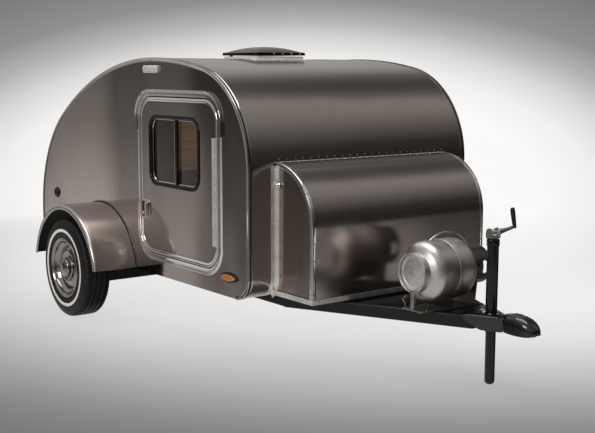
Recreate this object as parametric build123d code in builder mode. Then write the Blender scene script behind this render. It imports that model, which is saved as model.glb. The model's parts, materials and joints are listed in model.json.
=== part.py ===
"""Teardrop trailer: a riveted aluminium cabin on one axle, with a front storage box.

Millimetres. +X points forwards to the coupler, +Y to the trailer's left, +Z up.
The ground is z = 0 and the body is mirrored about y = 0.
"""
from build123d import *
from math import asin, cos, degrees, radians, sin, sqrt
import os

os.makedirs("parts", exist_ok=True)

# Body shell, seen from the side
front_x = 658.0          # outer face of the front wall
body_half = 770.0        # half of the body's width
body_bottom = 335.0      # lower edge of the side walls
body_top = 1584.0        # crown of the roof
nose_rad = 539.0         # arc from the front wall up to the roof
nose_deg = 79.0          # angle that this arc turns through
crown_rad = 2807.0       # nearly flat arc over the crown
back_rad = 2183.0        # arc that falls away behind the crown
back_deg = 33.3          # angle that this arc turns through
tail_rad = 798.0         # arc down to the tail
toe_rad = 118.0          # rounded lower front corner
heel_rad = 40.0          # rounded lower rear corner
wall = 25.0              # side walls, roof and hatch
floor_t = 25.0
gap = 6.0                # clearance round every moving panel
run = 0.3                # running gap between a hinge's leaf and its knuckle
inner = body_half - wall

# Edge trim on the side walls
trim_t = 2.5
trim_w = 22.0

# Running gear
rail_top = 343.0
rail_h = 64.0
rail_w = 50.0
rail_y = 517.0           # outer face of the main rails
hitch_y = 47.0           # outer face of the drawbar rails at their front end
hitch_x = front_x + 986.0
axle_x = front_x - 1620.0
tyre_rad = 305.0
tyre_w = 178.0
tyre_y = body_half + 276.0    # outer sidewall
rim_rad = 186.0
stub_rad = 16.0               # stub axle that the wheel turns on
stub_gap = 0.08
fender_rad = 436.0
fender_z = 259.0              # height of the fender arc's centre
fender_x = axle_x + 8.0
fender_y = body_half + 280.0  # outer face of the rolled edge
fender_t = 4.0
fender_bend = 16.0            # outer radius of the rolled edge
fender_lip = 36.0             # how far the rolled edge hangs down
fender_flange = 12.0          # flange that meets the side wall
fender_low = 345.0

# Side doors
door_x0 = front_x - 1155.0
door_x1 = front_x - 239.0
door_z0 = 420.0
door_z1 = 1405.0
door_rad = 165.0
door_t = 28.0
frame_w = 36.0
frame_t = 4.0
hinge_rad = 5.0
leaf_reach = 60.0        # how far the hinge's leaf reaches over the door
cap_z = 1172.0           # lower ends of the drip cap over the door
cap_t = 16.0
pane_x0 = front_x - 1006.0
pane_x1 = front_x - 459.0
pane_z0 = 858.0
pane_z1 = 1266.0
pane_rad = 82.0
pane_bead = 24.0
pane_bar = 26.0          # upright between the fixed and the sliding pane
latch_z = 712.0

# Front storage box
box_half = body_half - 166.0
box_depth = 314.0
box_z0 = 355.0
box_z1 = 1048.0
sheet = 4.0
sill_z = 450.0           # top of the fixed front sill
lid_z = sill_z + gap
angle_w = 26.0           # legs of the corner angles
pin_rad = 4.0            # knuckles of the long hinges

# Roof vent
vent_x = front_x - 955.0
vent_w = 372.0
vent_wall = 15.0
vent_brim = 18.0
vent_dome = 34.0

# Hatch over the galley
hatch_deg = 107.0        # where the hatch starts on the arc behind the crown
hatch_z = 470.0          # its lower edge
leaf_w = 42.0            # width of its hinge's leaves
handle_half = 60.0
handle_t = 12.0

# Inside
head_x = front_x - 1578.0    # upper bulkhead, above the counter
foot_x = front_x - 1950.0    # lower bulkhead, beyond the sleepers' feet
counter_z = 880.0
shelf_z = 600.0
board = 15.0
galley_gap = 130.0           # from the counter's edge to the hatch
mattress_t = 110.0

# Lamps and power outlet
lamp_x = front_x - 972.0
lamp_z = 1521.0
marker_x = front_x - 181.0
marker_z = 440.0
tail_y = body_half - 190.0
tail_z = 411.0
outlet_in = 240.0        # from the tail to the power outlet
outlet_z = 694.0

# Coupler and jack
plate_x = front_x + 866.0    # rear end of the coupler's flanges
nose_x = front_x + 1243.0    # front of the ball housing
nose_half = 50.0
ball_rad = 25.0
plate_t = 8.0
jack_x = front_x + 948.0
jack_rad = 28.6
jack_top = 722.0
jack_low = 262.0
leg_rad = 25.0
leg_top = 425.0
crank_y = 140.0
grip_len = 104.0

# Gas bottle on the drawbar, lying across it
bottle_x = front_x + 664.0
bottle_y = -20.0
bottle_z = 536.0
bottle_rad = 151.0
ring_rad = 98.0          # foot ring and collar
bottle_foot = -150.0     # ends of its straight part, from bottle_y
bottle_neck = 34.0
dish_rad = 272.0         # its dished ends
knuckle_rad = 52.0       # where they turn into the straight part
collar_w = 124.0
bow_rad = 190.0          # carrying bow over the bottle


def side(y):
    """Plane in which a sketch is drawn as x and z, at the given y, extruding towards -Y."""
    return Plane.XZ.offset(-y)


def on_arc(centre, radius, angle):
    return (centre[0] + radius * cos(radians(angle)), centre[1] + radius * sin(radians(angle)))


# Arc centres of the body's outline, each arc tangent to the next
nose_rise = radians(nose_deg)
nose_c = (front_x - nose_rad, body_top - crown_rad * (1 - sin(nose_rise)) - nose_rad * sin(nose_rise))
crown_c = (nose_c[0] - (crown_rad - nose_rad) * cos(nose_rise), body_top - crown_rad)
back_c = (crown_c[0], body_top - back_rad)
tail_a = 90 + back_deg
tail_c = on_arc(back_c, back_rad - tail_rad, tail_a)
rear_x = tail_c[0] - tail_rad
toe_c = (front_x - toe_rad, body_bottom + toe_rad)
clear = 99.0             # margin by which cutting shapes pass beyond the body


def toe_x(z):
    """Where the rounded lower front corner is at the given height."""
    return toe_c[0] + sqrt(toe_rad**2 - (toe_c[1] - z) ** 2)


def profile(inset):
    """Closed outline of the body from the side, moved inwards by inset."""
    low = body_bottom + inset
    heel = (rear_x + heel_rad, body_bottom + heel_rad)
    Line((heel[0], low), (toe_c[0], low))
    CenterArc(toe_c, toe_rad - inset, 270, 90)
    Line((front_x - inset, toe_c[1]), (front_x - inset, nose_c[1]))
    CenterArc(nose_c, nose_rad - inset, 0, nose_deg)
    CenterArc(crown_c, crown_rad - inset, nose_deg, 90 - nose_deg)
    CenterArc(back_c, back_rad - inset, 90, back_deg)
    CenterArc(tail_c, tail_rad - inset, tail_a, 180 - tail_a)
    Line((rear_x + inset, tail_c[1]), (rear_x + inset, heel[1]))
    CenterArc(heel, heel_rad - inset, 180, 90)


def slab(x0, x1, y0, y1, z0, z1, mode=Mode.ADD):
    """Box given by its limits."""
    with Locations(((x0 + x1) / 2, (y0 + y1) / 2, (z0 + z1) / 2)):
        Box(abs(x1 - x0), abs(y1 - y0), abs(z1 - z0), mode=mode)


def rounded(x0, x1, z0, z1, radius, grow=0.0, mode=Mode.ADD):
    """Rounded rectangle in the current sketch, grown by the given amount."""
    with Locations(((x0 + x1) / 2, (z0 + z1) / 2)):
        RectangleRounded(x1 - x0 + 2 * grow, z1 - z0 + 2 * grow, radius + grow, mode=mode)


def band(centre, radius, thick, start, sweep_deg):
    """Closed outline of a thin curved strip outside the given arc."""
    end = start + sweep_deg
    CenterArc(centre, radius, start, sweep_deg)
    Line(on_arc(centre, radius, end), on_arc(centre, radius + thick, end))
    CenterArc(centre, radius + thick, start, sweep_deg)
    Line(on_arc(centre, radius + thick, start), on_arc(centre, radius, start))


# Side walls
side_walls = {}
for name, s in (("right", -1), ("left", 1)):
    with BuildPart() as side_wall:
        with BuildSketch(side(max(s * body_half, s * inner))):
            with BuildLine():
                profile(0)
            make_face()
            rounded(door_x0, door_x1, door_z0, door_z1, door_rad, -frame_w, Mode.SUBTRACT)
        extrude(amount=wall)
    side_walls[name] = side_wall

# Roof, nose and front wall in one skin, up to the radial cut in front of the hatch
cut = on_arc(back_c, back_rad + 2 * wall, hatch_deg)
cut_in = on_arc(back_c, back_rad - 4 * wall, hatch_deg)
cut_dx = gap * sin(radians(hatch_deg))
cut_dz = -gap * cos(radians(hatch_deg))

with BuildPart() as roof_shell:
    with BuildSketch(side(inner)):
        with BuildLine():
            profile(0)
        make_face()
        with BuildLine():
            profile(wall)
        make_face(mode=Mode.SUBTRACT)
        with BuildLine():
            Polyline(
                cut,
                cut_in,
                (cut_in[0], rail_top + floor_t),
                (front_x - toe_rad, rail_top + floor_t),
                (front_x - toe_rad, rail_top),
                (front_x + clear, rail_top),
                (front_x + clear, body_bottom - clear),
                (rear_x - clear, body_bottom - clear),
                (rear_x - clear, cut[1]),
                close=True,
            )
        make_face(mode=Mode.SUBTRACT)
    extrude(amount=2 * inner)
    with Locations((vent_x, 0, body_top)):
        Box(vent_w - 20, vent_w - 20, 200, mode=Mode.SUBTRACT)

# Hatch, with its hinge leaf let into the skin
hatch_half = inner - gap
leaf_a = hatch_deg + degrees((pin_rad - 0.2) / back_rad)
leaf_sweep = degrees((leaf_w - pin_rad) / back_rad)
with BuildPart() as hatch:
    with BuildSketch(side(hatch_half)):
        with BuildLine():
            profile(0)
        make_face()
        with BuildLine():
            profile(wall)
        make_face(mode=Mode.SUBTRACT)
        with BuildLine():
            Polyline(
                (cut[0] - cut_dx, cut[1] - cut_dz),
                (cut_in[0] - cut_dx, cut_in[1] - cut_dz),
                (cut_in[0] - cut_dx, hatch_z),
                (rear_x - clear, hatch_z),
                (rear_x - clear, cut[1] + clear),
                (cut[0] - cut_dx, cut[1] + clear),
                close=True,
            )
        make_face(mode=Mode.INTERSECT)
        with BuildLine():
            band(back_c, back_rad - 2, 4, leaf_a, leaf_sweep)
        make_face()
    extrude(amount=2 * hatch_half)

with BuildPart() as hatch_handle:
    for s in (-1, 1):
        post = s * handle_half
        slab(rear_x - 22, rear_x, post - handle_t / 2, post + handle_t / 2, hatch_z, hatch_z + handle_t)
    reach = handle_half + handle_t / 2
    slab(rear_x - 28, rear_x - 16, -reach, reach, hatch_z, hatch_z + handle_t)

with BuildPart() as tail_sill:
    with BuildSketch(side(inner)):
        with BuildLine():
            profile(0)
        make_face()
        with Locations((rear_x + wall / 2, (rail_top + hatch_z - gap) / 2)):
            Rectangle(wall, hatch_z - gap - rail_top, mode=Mode.INTERSECT)
    extrude(amount=2 * inner)

# Angle trims that wrap the side walls' edges
with BuildPart() as edge_trims:
    for s in (-1, 1):
        out = s * (body_half + trim_t)
        for inset, y0, y1 in ((trim_w, out, s * body_half), (0, s * body_half, s * inner)):
            with BuildSketch(side(max(y0, y1))):
                with BuildLine():
                    profile(-trim_t)
                make_face()
                with BuildLine():
                    profile(inset)
                make_face(mode=Mode.SUBTRACT)
                with Locations(((front_x - toe_rad + rear_x - clear) / 2, body_bottom)):
                    Rectangle(front_x - toe_rad - rear_x + clear, 2 * trim_w + 18, mode=Mode.SUBTRACT)
            extrude(amount=abs(y1 - y0))

with BuildPart() as floor_panel:
    slab(rear_x + heel_rad, front_x - toe_rad, -inner, inner, rail_top, rail_top + floor_t)

# Bulkheads, counter, galley cabinet and mattress
floor_top = rail_top + floor_t
galley_x = rear_x + wall + galley_gap

with BuildPart() as bulkhead:
    slab(head_x - board, head_x, -inner, inner, counter_z, body_top)
    slab(galley_x, head_x, -inner, inner, counter_z - board, counter_z)
    slab(foot_x - board, foot_x, -inner, inner, floor_top, counter_z - board)
    with BuildSketch(side(inner)):
        with BuildLine():
            profile(wall)
        make_face()
    extrude(amount=2 * inner, mode=Mode.INTERSECT)

with BuildPart() as galley_cabinet:
    cabinet_x = galley_x + board
    for y in (-inner + 9, -250, 250, inner - 9):
        slab(cabinet_x, foot_x - board, y - 9, y + 9, floor_top, counter_z - board)
    slab(cabinet_x, foot_x - board, -inner, inner, shelf_z, shelf_z + board)

with BuildPart() as mattress:
    bed_half = inner - 15
    slab(foot_x + 15, front_x - toe_rad + 30, -bed_half, bed_half, floor_top, floor_top + mattress_t)
    fillet(mattress.edges().filter_by(Axis.Z), 50)
    fillet(mattress.faces().sort_by(Axis.Z)[-1].edges(), 30)

# Door frames with their drip caps and hinge knuckles
open_x0 = door_x0 + frame_w
open_x1 = door_x1 - frame_w
open_z0 = door_z0 + frame_w
open_z1 = door_z1 - frame_w
hinge_x = open_x1 + 1
hinge_out = body_half + frame_t + hinge_rad
leaf_z0 = door_z0 + door_rad
leaf_z1 = cap_z - 10

with BuildPart() as door_frames:
    for s in (-1, 1):
        near = s * body_half
        out = s * (body_half + frame_t)
        with BuildSketch(side(max(near, out))):
            rounded(door_x0, door_x1, door_z0, door_z1, door_rad)
            rounded(door_x0, door_x1, door_z0, door_z1, door_rad, -frame_w, Mode.SUBTRACT)
        extrude(amount=frame_t)
        cap_y = s * (body_half + cap_t)
        with BuildSketch(side(max(near, cap_y))):
            rounded(door_x0, door_x1, door_z0, door_z1, door_rad, 3)
            rounded(door_x0, door_x1, door_z0, door_z1, door_rad, -15, Mode.SUBTRACT)
            with Locations(((door_x0 + door_x1) / 2, cap_z - door_z1 / 2)):
                Rectangle(2 * (door_x1 - door_x0), door_z1, mode=Mode.SUBTRACT)
        extrude(amount=cap_t)
        with Locations((hinge_x, s * hinge_out, (leaf_z0 + leaf_z1) / 2)):
            Cylinder(hinge_rad, leaf_z1 - leaf_z0)

# Doors, windows and latches
doors = {}
panes = {}
glasses = {}
latches = {}
for name, s in (("right", -1), ("left", 1)):
    out = s * (body_half + frame_t - 1)
    back = out - s * door_t
    knuckle_x = hinge_x - hinge_rad - run
    with BuildPart() as door:
        with BuildSketch(side(max(out, back))):
            rounded(door_x0, door_x1, door_z0, door_z1, door_rad, -frame_w - gap)
            rounded(pane_x0, pane_x1, pane_z0, pane_z1, pane_rad, -6, Mode.SUBTRACT)
        extrude(amount=door_t)
        slab(open_x1 - leaf_reach, knuckle_x, out, out + s * 3, leaf_z0, leaf_z1)
        slab(open_x1 - 8, knuckle_x, out, s * (hinge_out + 2), leaf_z0, leaf_z1)
    doors[name] = door

    bead_out = s * (body_half + frame_t + 5)
    with BuildPart() as pane:
        with BuildSketch(side(max(bead_out, out))):
            rounded(pane_x0, pane_x1, pane_z0, pane_z1, pane_rad)
            rounded(pane_x0, pane_x1, pane_z0, pane_z1, pane_rad, -pane_bead, Mode.SUBTRACT)
        extrude(amount=abs(bead_out - out))
        with BuildSketch(side(max(out, back))):
            rounded(pane_x0, pane_x1, pane_z0, pane_z1, pane_rad, -6)
            rounded(pane_x0, pane_x1, pane_z0, pane_z1, pane_rad, -pane_bead, Mode.SUBTRACT)
        extrude(amount=door_t)
        bar_x = (pane_x0 + pane_x1 + 40) / 2
        slab(bar_x - pane_bar / 2, bar_x + pane_bar / 2, out, out - s * 14, pane_z0 + 20, pane_z1 - 20)
    panes[name] = pane

    glass_y = out - s * 16
    with BuildPart() as glass:
        with BuildSketch(side(max(glass_y, glass_y - s * 4))):
            rounded(pane_x0, pane_x1, pane_z0, pane_z1, pane_rad, -pane_bead)
        extrude(amount=4)
    glasses[name] = glass

    latch_x = open_x0 + gap + 54
    with BuildPart() as latch:
        slab(latch_x - 48, latch_x + 48, out, out + s * 4, latch_z - 54, latch_z + 54)
        slab(latch_x - 34, latch_x + 38, out + s * 4, out + s * 10, latch_z - 40, latch_z + 22)
        slab(latch_x + 22, latch_x + 38, out + s * 10, out + s * 18, latch_z - 40, latch_z + 22)
    latches[name] = latch

# Fixed tray, sill and corner angles of the front storage box
arc_z = box_z1 - box_depth
box_x1 = front_x + box_depth
skin_half = box_half - trim_t - gap
step = sheet + gap

toe_deg = degrees(asin((toe_c[1] - box_z0) / toe_rad))
foot = box_half + trim_t

with BuildPart() as box_shell:
    for s in (-1, 1):
        skin = s * skin_half
        with BuildSketch(side(max(skin, skin - s * sheet))):
            with BuildLine():
                Line(on_arc(toe_c, toe_rad, -toe_deg), (box_x1, box_z0))
                Line((box_x1, box_z0), (box_x1, sill_z))
                Line((box_x1, sill_z), (box_x1 - step, sill_z))
                Line((box_x1 - step, sill_z), (box_x1 - step, arc_z))
                CenterArc((front_x, arc_z), box_depth - step, 0, 90)
                Line((front_x, box_z1 - step), (front_x, toe_c[1]))
                CenterArc(toe_c, toe_rad, -toe_deg, toe_deg)
            make_face()
        extrude(amount=sheet)
        rim = s * box_half
        slab(box_x1 - angle_w, box_x1, s * skin_half, rim, box_z0, sill_z)
        strip_x = toe_x(box_z0 + angle_w)
        slab(strip_x, box_x1 - angle_w, s * skin_half, rim, box_z0, box_z0 + angle_w)
        # the corner angle follows the body's rounded lower corner
        for thick, y0, y1 in ((angle_w, skin_half, box_half), (trim_t, box_half, box_half + angle_w)):
            with BuildSketch(side(max(s * y0, s * y1))):
                with BuildLine():
                    band(toe_c, toe_rad, thick, -toe_deg, toe_deg)
                make_face()
                with Locations((front_x, box_z0 - clear / 2)):
                    Rectangle(4 * clear, clear, mode=Mode.SUBTRACT)
            extrude(amount=y1 - y0)
            slab(front_x, front_x + thick, s * y0, s * y1, toe_c[1], box_z1 - step - gap)
    slab(toe_x(box_z0 + sheet), box_x1, -skin_half, skin_half, box_z0, box_z0 + sheet)
    slab(box_x1 - sheet, box_x1, -box_half, box_half, box_z0, sill_z)
    slab(box_x1 - sheet, box_x1 + trim_t, -foot, foot, box_z0, box_z0 + angle_w)

# Long hinges of the box lid and of the hatch, each a curved leaf and its knuckle
pin_x = front_x + 3.5
lid_x = pin_x + pin_rad + run
roof_pin = on_arc(back_c, back_rad + pin_rad, hatch_deg)
nose_a = degrees(asin((box_z1 - nose_c[1]) / nose_rad))
roof_sweep = degrees(leaf_w / back_rad)
hinge_table = (
    # arc centre, arc radius, first angle, angle covered, knuckle x, knuckle z, half length
    (nose_c, nose_rad, nose_a, degrees(angle_w / nose_rad), pin_x, box_z1, box_half),
    (back_c, back_rad, hatch_deg - roof_sweep, roof_sweep, roof_pin[0], roof_pin[1], hatch_half),
)
with BuildPart() as hinge_strips:
    for centre, radius, start, covered, knuckle_x, knuckle_z, half in hinge_table:
        with BuildSketch(side(half)):
            with BuildLine():
                band(centre, radius, 2, start, covered)
            make_face()
        extrude(amount=2 * half)
        with Locations((knuckle_x, 0, knuckle_z)):
            Cylinder(pin_rad, 2 * half, rotation=(90, 0, 0))


def lid_outline(outer, depth):
    """Outline of the lid's quarter round top and straight front, from outer beyond it to depth inside."""
    inside = box_depth - depth
    CenterArc((front_x, arc_z), box_depth + outer, 0, 90)
    Line((front_x, box_z1 + outer), (front_x, box_z1 - depth))
    CenterArc((front_x, arc_z), inside, 0, 90)
    Line((front_x + inside, arc_z), (front_x + inside, lid_z))
    Line((front_x + inside, lid_z), (box_x1 + outer, lid_z))
    Line((box_x1 + outer, lid_z), (box_x1 + outer, arc_z))


lid_table = (
    # how far outside the lid's face, how far inside it, side from, side to
    (0, sheet, -box_half, box_half),
    (trim_t, angle_w, box_half, foot),
    (trim_t, angle_w, -foot, -box_half),
    (trim_t, 0, box_half - angle_w, foot),
    (trim_t, 0, -foot, angle_w - box_half),
)
with BuildPart() as box_lid:
    for outer, depth, y0, y1 in lid_table:
        with BuildSketch(side(y1)):
            with BuildLine():
                lid_outline(outer, depth)
            make_face()
            with Locations((lid_x - 50, box_z1)):
                Rectangle(100, 100, mode=Mode.SUBTRACT)
        extrude(amount=y1 - y0)

# Roof vent: base with its upstand and hinge, and the domed lid
vent_z = body_top + 14.0
brim_z = vent_z + gap
vent_half = vent_w / 2
vent_pin_x = vent_x - vent_half - pin_rad - run
vent_pin_z = brim_z + vent_brim / 2

with BuildPart() as vent_base:
    base_half = vent_half - 10
    hole_half = base_half - vent_wall
    slab(vent_x - base_half, vent_x + base_half, -base_half, base_half, body_top - 30, vent_z)
    slab(vent_x - hole_half, vent_x + hole_half, -hole_half, hole_half, body_top - 99, vent_z + 9, Mode.SUBTRACT)
    with Locations((vent_pin_x, 0, vent_pin_z)):
        Cylinder(pin_rad, vent_w - 80, rotation=(90, 0, 0))
    for y in (-110, 110):
        slab(vent_pin_x - 4, vent_pin_x + 20, y - 12, y + 12, vent_z - 12, vent_z)
        slab(vent_pin_x - 4, vent_pin_x + 3.5, y - 12, y + 12, vent_z - 12, vent_pin_z)

dome_half = vent_half - vent_brim
dome_z = brim_z + vent_brim
with BuildPart() as vent_dome_vault:
    # two arched vaults at right angles, and what they share
    for across, mode in ((side(dome_half), Mode.ADD), (Plane.YZ.offset(vent_x - dome_half), Mode.INTERSECT)):
        middle = vent_x if mode == Mode.ADD else 0
        with BuildSketch(across):
            with BuildLine():
                ThreePointArc((middle - dome_half, dome_z), (middle, dome_z + vent_dome), (middle + dome_half, dome_z))
                Line((middle - dome_half, dome_z), (middle + dome_half, dome_z))
            make_face()
        extrude(amount=2 * dome_half, mode=mode)

with BuildPart() as vent_lid:
    slab(vent_x - vent_half, vent_x + vent_half, -vent_half, vent_half, brim_z, dome_z)
    fillet(vent_lid.edges().filter_by(Axis.Z), 14)
    add(vent_dome_vault.part)

# Lamps and power outlet
with BuildPart() as porch_lamps:
    for s in (-1, 1):
        slab(lamp_x - 76, lamp_x + 76, s * body_half, s * (body_half + 26), lamp_z - 21, lamp_z + 21)
    fillet(porch_lamps.edges().filter_by(Axis.Y), 12)

with BuildPart() as marker_lamps:
    for s in (-1, 1):
        out = s * (body_half + 18)
        with BuildSketch(side(max(out, s * body_half))):
            with Locations((marker_x, marker_z)):
                SlotOverall(160, 56)
        extrude(amount=18)

with BuildPart() as tail_lamps:
    for s in (-1, 1):
        slab(rear_x - 22, rear_x, s * tail_y - 80, s * tail_y + 80, tail_z - 27, tail_z + 27)
    fillet(tail_lamps.edges().filter_by(Axis.X), 26)

with BuildPart() as cable_outlet:
    for radius, depth, y in ((35, 10, -body_half - 5), (24, 6, -body_half - 12)):
        with Locations((rear_x + outlet_in, y, outlet_z)):
            Cylinder(radius, depth, rotation=(90, 0, 0))

# Fenders: a rolled strip with a lip outside and a flange on the side wall
bend_y = fender_y - fender_bend
bend_r = fender_rad - fender_bend
with BuildPart() as fenders:
    for s in (-1, 1):
        with BuildSketch(Plane(origin=(fender_x, 0, fender_z), x_dir=(0, s, 0), z_dir=(1, 0, 0))):
            with BuildLine():
                Polyline(
                    (bend_y, fender_rad),
                    (body_half + 3, fender_rad),
                    (body_half + 3, fender_rad + fender_flange),
                    (body_half, fender_rad + fender_flange),
                    (body_half, fender_rad - fender_t),
                    (bend_y, fender_rad - fender_t),
                )
                CenterArc((bend_y, bend_r), fender_bend - fender_t, 0, 90)
                Polyline(
                    (fender_y - fender_t, bend_r),
                    (fender_y - fender_t, fender_rad - fender_lip),
                    (fender_y, fender_rad - fender_lip),
                    (fender_y, bend_r),
                )
                CenterArc((bend_y, bend_r), fender_bend, 0, 90)
            make_face()
        revolve(axis=Axis((fender_x, 0, fender_z), (0, 1, 0)))
    reach = fender_rad + clear
    slab(fender_x - reach, fender_x + reach, -fender_y, fender_y, fender_low - 2 * reach, fender_low, Mode.SUBTRACT)

# Wheels and tyres, turned about the axle
half_w = tyre_w / 2
tyre_section = (
    # distance outwards from the middle, radius
    (18 - half_w, rim_rad - 10),
    (4 - half_w, rim_rad + 12),
    (-half_w, rim_rad + 50),
    (10 - half_w, tyre_rad - 22),
    (26 - half_w, tyre_rad - 4),
    (40 - half_w, tyre_rad),
    (half_w - 40, tyre_rad),
    (half_w - 26, tyre_rad - 4),
    (half_w - 10, tyre_rad - 22),
    (half_w, rim_rad + 50),
    (half_w - 4, rim_rad + 12),
    (half_w - 18, rim_rad - 10),
)
cap_rad = 58.0
bore = stub_rad + stub_gap
wheel_section = (
    # distance outwards from the middle, radius
    (14 - half_w, rim_rad - 10),
    (half_w - 14, rim_rad - 10),
    (half_w - 6, rim_rad),
    (half_w - 2, rim_rad),
    (half_w - 8, rim_rad - 22),
    (half_w - 44, rim_rad - 36),
    (half_w - 30, rim_rad - 76),
    (half_w - 34, cap_rad + 4),
    (half_w - 4, cap_rad),
    (half_w + 6, cap_rad - 18),
    (half_w + 10, 0),
    (half_w - 8, 0),
    (half_w - 8, bore),
    (half_w - 52, bore),
    (half_w - 52, rim_rad - 30),
    (14 - half_w, rim_rad - 22),
)
tyres = {}
wheels = {}
for name, s in (("right", -1), ("left", 1)):
    turned = Plane(origin=(axle_x, s * (tyre_y - half_w), tyre_rad), x_dir=(0, s, 0), z_dir=(1, 0, 0))
    for group, section in ((tyres, tyre_section), (wheels, wheel_section)):
        with BuildPart() as ring:
            with BuildSketch(turned):
                with BuildLine():
                    Polyline(*section, close=True)
                make_face()
            revolve(axis=Axis((axle_x, 0, tyre_rad), (0, 1, 0)))
        group[name] = ring

# Chassis: main rails, tapering drawbar rails, cross members and bottle tray
rake = (rail_y - hitch_y) / (hitch_x - front_x)
rail_run = rail_w * sqrt(1 + rake * rake)
rail_x = jack_x - jack_rad - 12
rail_at = rail_y - rake * (rail_x - front_x)
splice_x = front_x - 20
splice_y = rail_y + 20 * rake
tray_y = rail_y - rake * (bottle_x + 90 - front_x) - 6
tray_z = rail_top + 5
with BuildPart() as chassis:
    for s in (-1, 1):
        with BuildSketch(Plane.XY.offset(rail_top - rail_h)):
            with BuildLine():
                Polyline(
                    (rail_x, s * rail_at),
                    (splice_x, s * splice_y),
                    (splice_x, s * (splice_y - rail_run)),
                    (rail_x, s * (rail_at - rail_run)),
                    close=True,
                )
            make_face()
        extrude(amount=rail_h)
        slab(rear_x + 120, splice_x, s * (rail_y - rail_w), s * rail_y, rail_top - rail_h, rail_top)
    for x in (rear_x + 120, axle_x - 300, axle_x + 330, front_x - 500, front_x - 70):
        slab(x, x + 50, -rail_y + rail_w, rail_y - rail_w, rail_top - 50, rail_top)
    for x in (front_x + 40, front_x + 250):
        reach = rail_y - rake * (x + 40 - front_x) - 10
        slab(x, x + 40, -reach, reach, rail_top - 8, box_z0)
    slab(bottle_x - 90, bottle_x + 90, -tray_y, tray_y, rail_top - 3, tray_z)

# Torsion axle: beam, trailing arms, spindles and stub axles
beam_x = axle_x + 90
hub_in = tyre_y - tyre_w
with BuildPart() as axle_beam:
    low = rail_top - rail_h
    slab(beam_x, beam_x + 60, -hub_in + 40, hub_in - 40, low - 60, low)
    for s in (-1, 1):
        slab(axle_x - 25, beam_x + 60, s * (hub_in - 70), s * (hub_in - 30), 245, 330)
        for radius, length, y in ((34, 72, hub_in + 2), (stub_rad, 140, tyre_y - 80)):
            with Locations((axle_x, s * y, tyre_rad)):
                Cylinder(radius, length, rotation=(90, 0, 0))

# Coupler: two tapering flanges, a top plate and the ball housing
flange_y = rail_y - rake * (plate_x - front_x)
plate_front = hitch_x + 60
front_y = hitch_y - 60 * rake
ball_x = nose_x - nose_half - 2
with BuildPart() as coupler:
    for s in (-1, 1):
        with BuildSketch(Plane.XY.offset(rail_top - rail_h)):
            with BuildLine():
                Polyline(
                    (plate_x, s * flange_y),
                    (plate_x, s * (flange_y + 7)),
                    (plate_front, s * (front_y + 7)),
                    (plate_front, s * front_y),
                    close=True,
                )
            make_face()
        extrude(amount=rail_h + plate_t)
    with BuildSketch(side(2 * flange_y)):
        with BuildLine():
            Polyline(
                (plate_x - 1, rail_top - 22),
                (plate_x + 78, rail_top - rail_h - 1),
                (plate_x - 1, rail_top - rail_h - 1),
                close=True,
            )
        make_face()
    extrude(amount=4 * flange_y, mode=Mode.SUBTRACT)
    with BuildSketch(Plane.XY.offset(rail_top)):
        with BuildLine():
            Polyline(
                (plate_x, -flange_y - 7),
                (plate_front, -front_y - 7),
                (nose_x - 60, -36),
                (nose_x - 60, 36),
                (plate_front, front_y + 7),
                (plate_x, flange_y + 7),
                close=True,
            )
        make_face()
        with Locations((jack_x, 0)):
            Circle(jack_rad, mode=Mode.SUBTRACT)
    extrude(amount=plate_t)
    slab(hitch_x, ball_x, -32, 32, rail_top - 52, rail_top + plate_t)
    with Locations((ball_x, 0, rail_top - 30)):
        Cylinder(nose_half, 48)
    with Locations((ball_x, 0, rail_top + 2)):
        Cone(nose_half, nose_half - 12, 16)
    with Locations((ball_x, 0, rail_top - 26)):
        Sphere(ball_rad + 2, mode=Mode.SUBTRACT)
    with Locations((ball_x, 0, rail_top - 50)):
        Cylinder(ball_rad, 50, mode=Mode.SUBTRACT)

# Jack: outer tube, crank head with its arm and grip, and the sliding leg
with BuildPart() as jack_tube:
    tube_z = (jack_top + jack_low) / 2
    with Locations((jack_x, 0, tube_z)):
        Cylinder(jack_rad, jack_top - jack_low)
    with Locations((jack_x, 0, tube_z - 30)):
        Cylinder(leg_rad + 0.8, jack_top - jack_low, mode=Mode.SUBTRACT)
    with Locations((jack_x, 0, jack_top - 18)):
        Cylinder(jack_rad + 3, 36)

with BuildPart() as jack_crank:
    slab(jack_x - 22, jack_x + 22, -30, 28, jack_top, jack_top + 52)
    with BuildSketch(Plane.YZ.offset(jack_x - 6)):
        with BuildLine():
            Polyline(
                (28, jack_top + 16),
                (28, jack_top + 32),
                (crank_y + 12, jack_top + 50),
                (crank_y + 12, jack_top + 34),
                close=True,
            )
        make_face()
    extrude(amount=12)
    with Locations((jack_x, crank_y, jack_top + 34 + grip_len / 2)):
        Cylinder(12, grip_len, rotation=(12, 0, 0))

with BuildPart() as jack_leg:
    with Locations((jack_x, 0, leg_top / 2)):
        Cylinder(leg_rad, leg_top)
    fillet(jack_leg.edges().sort_by(Axis.Z)[0], 16)

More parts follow.
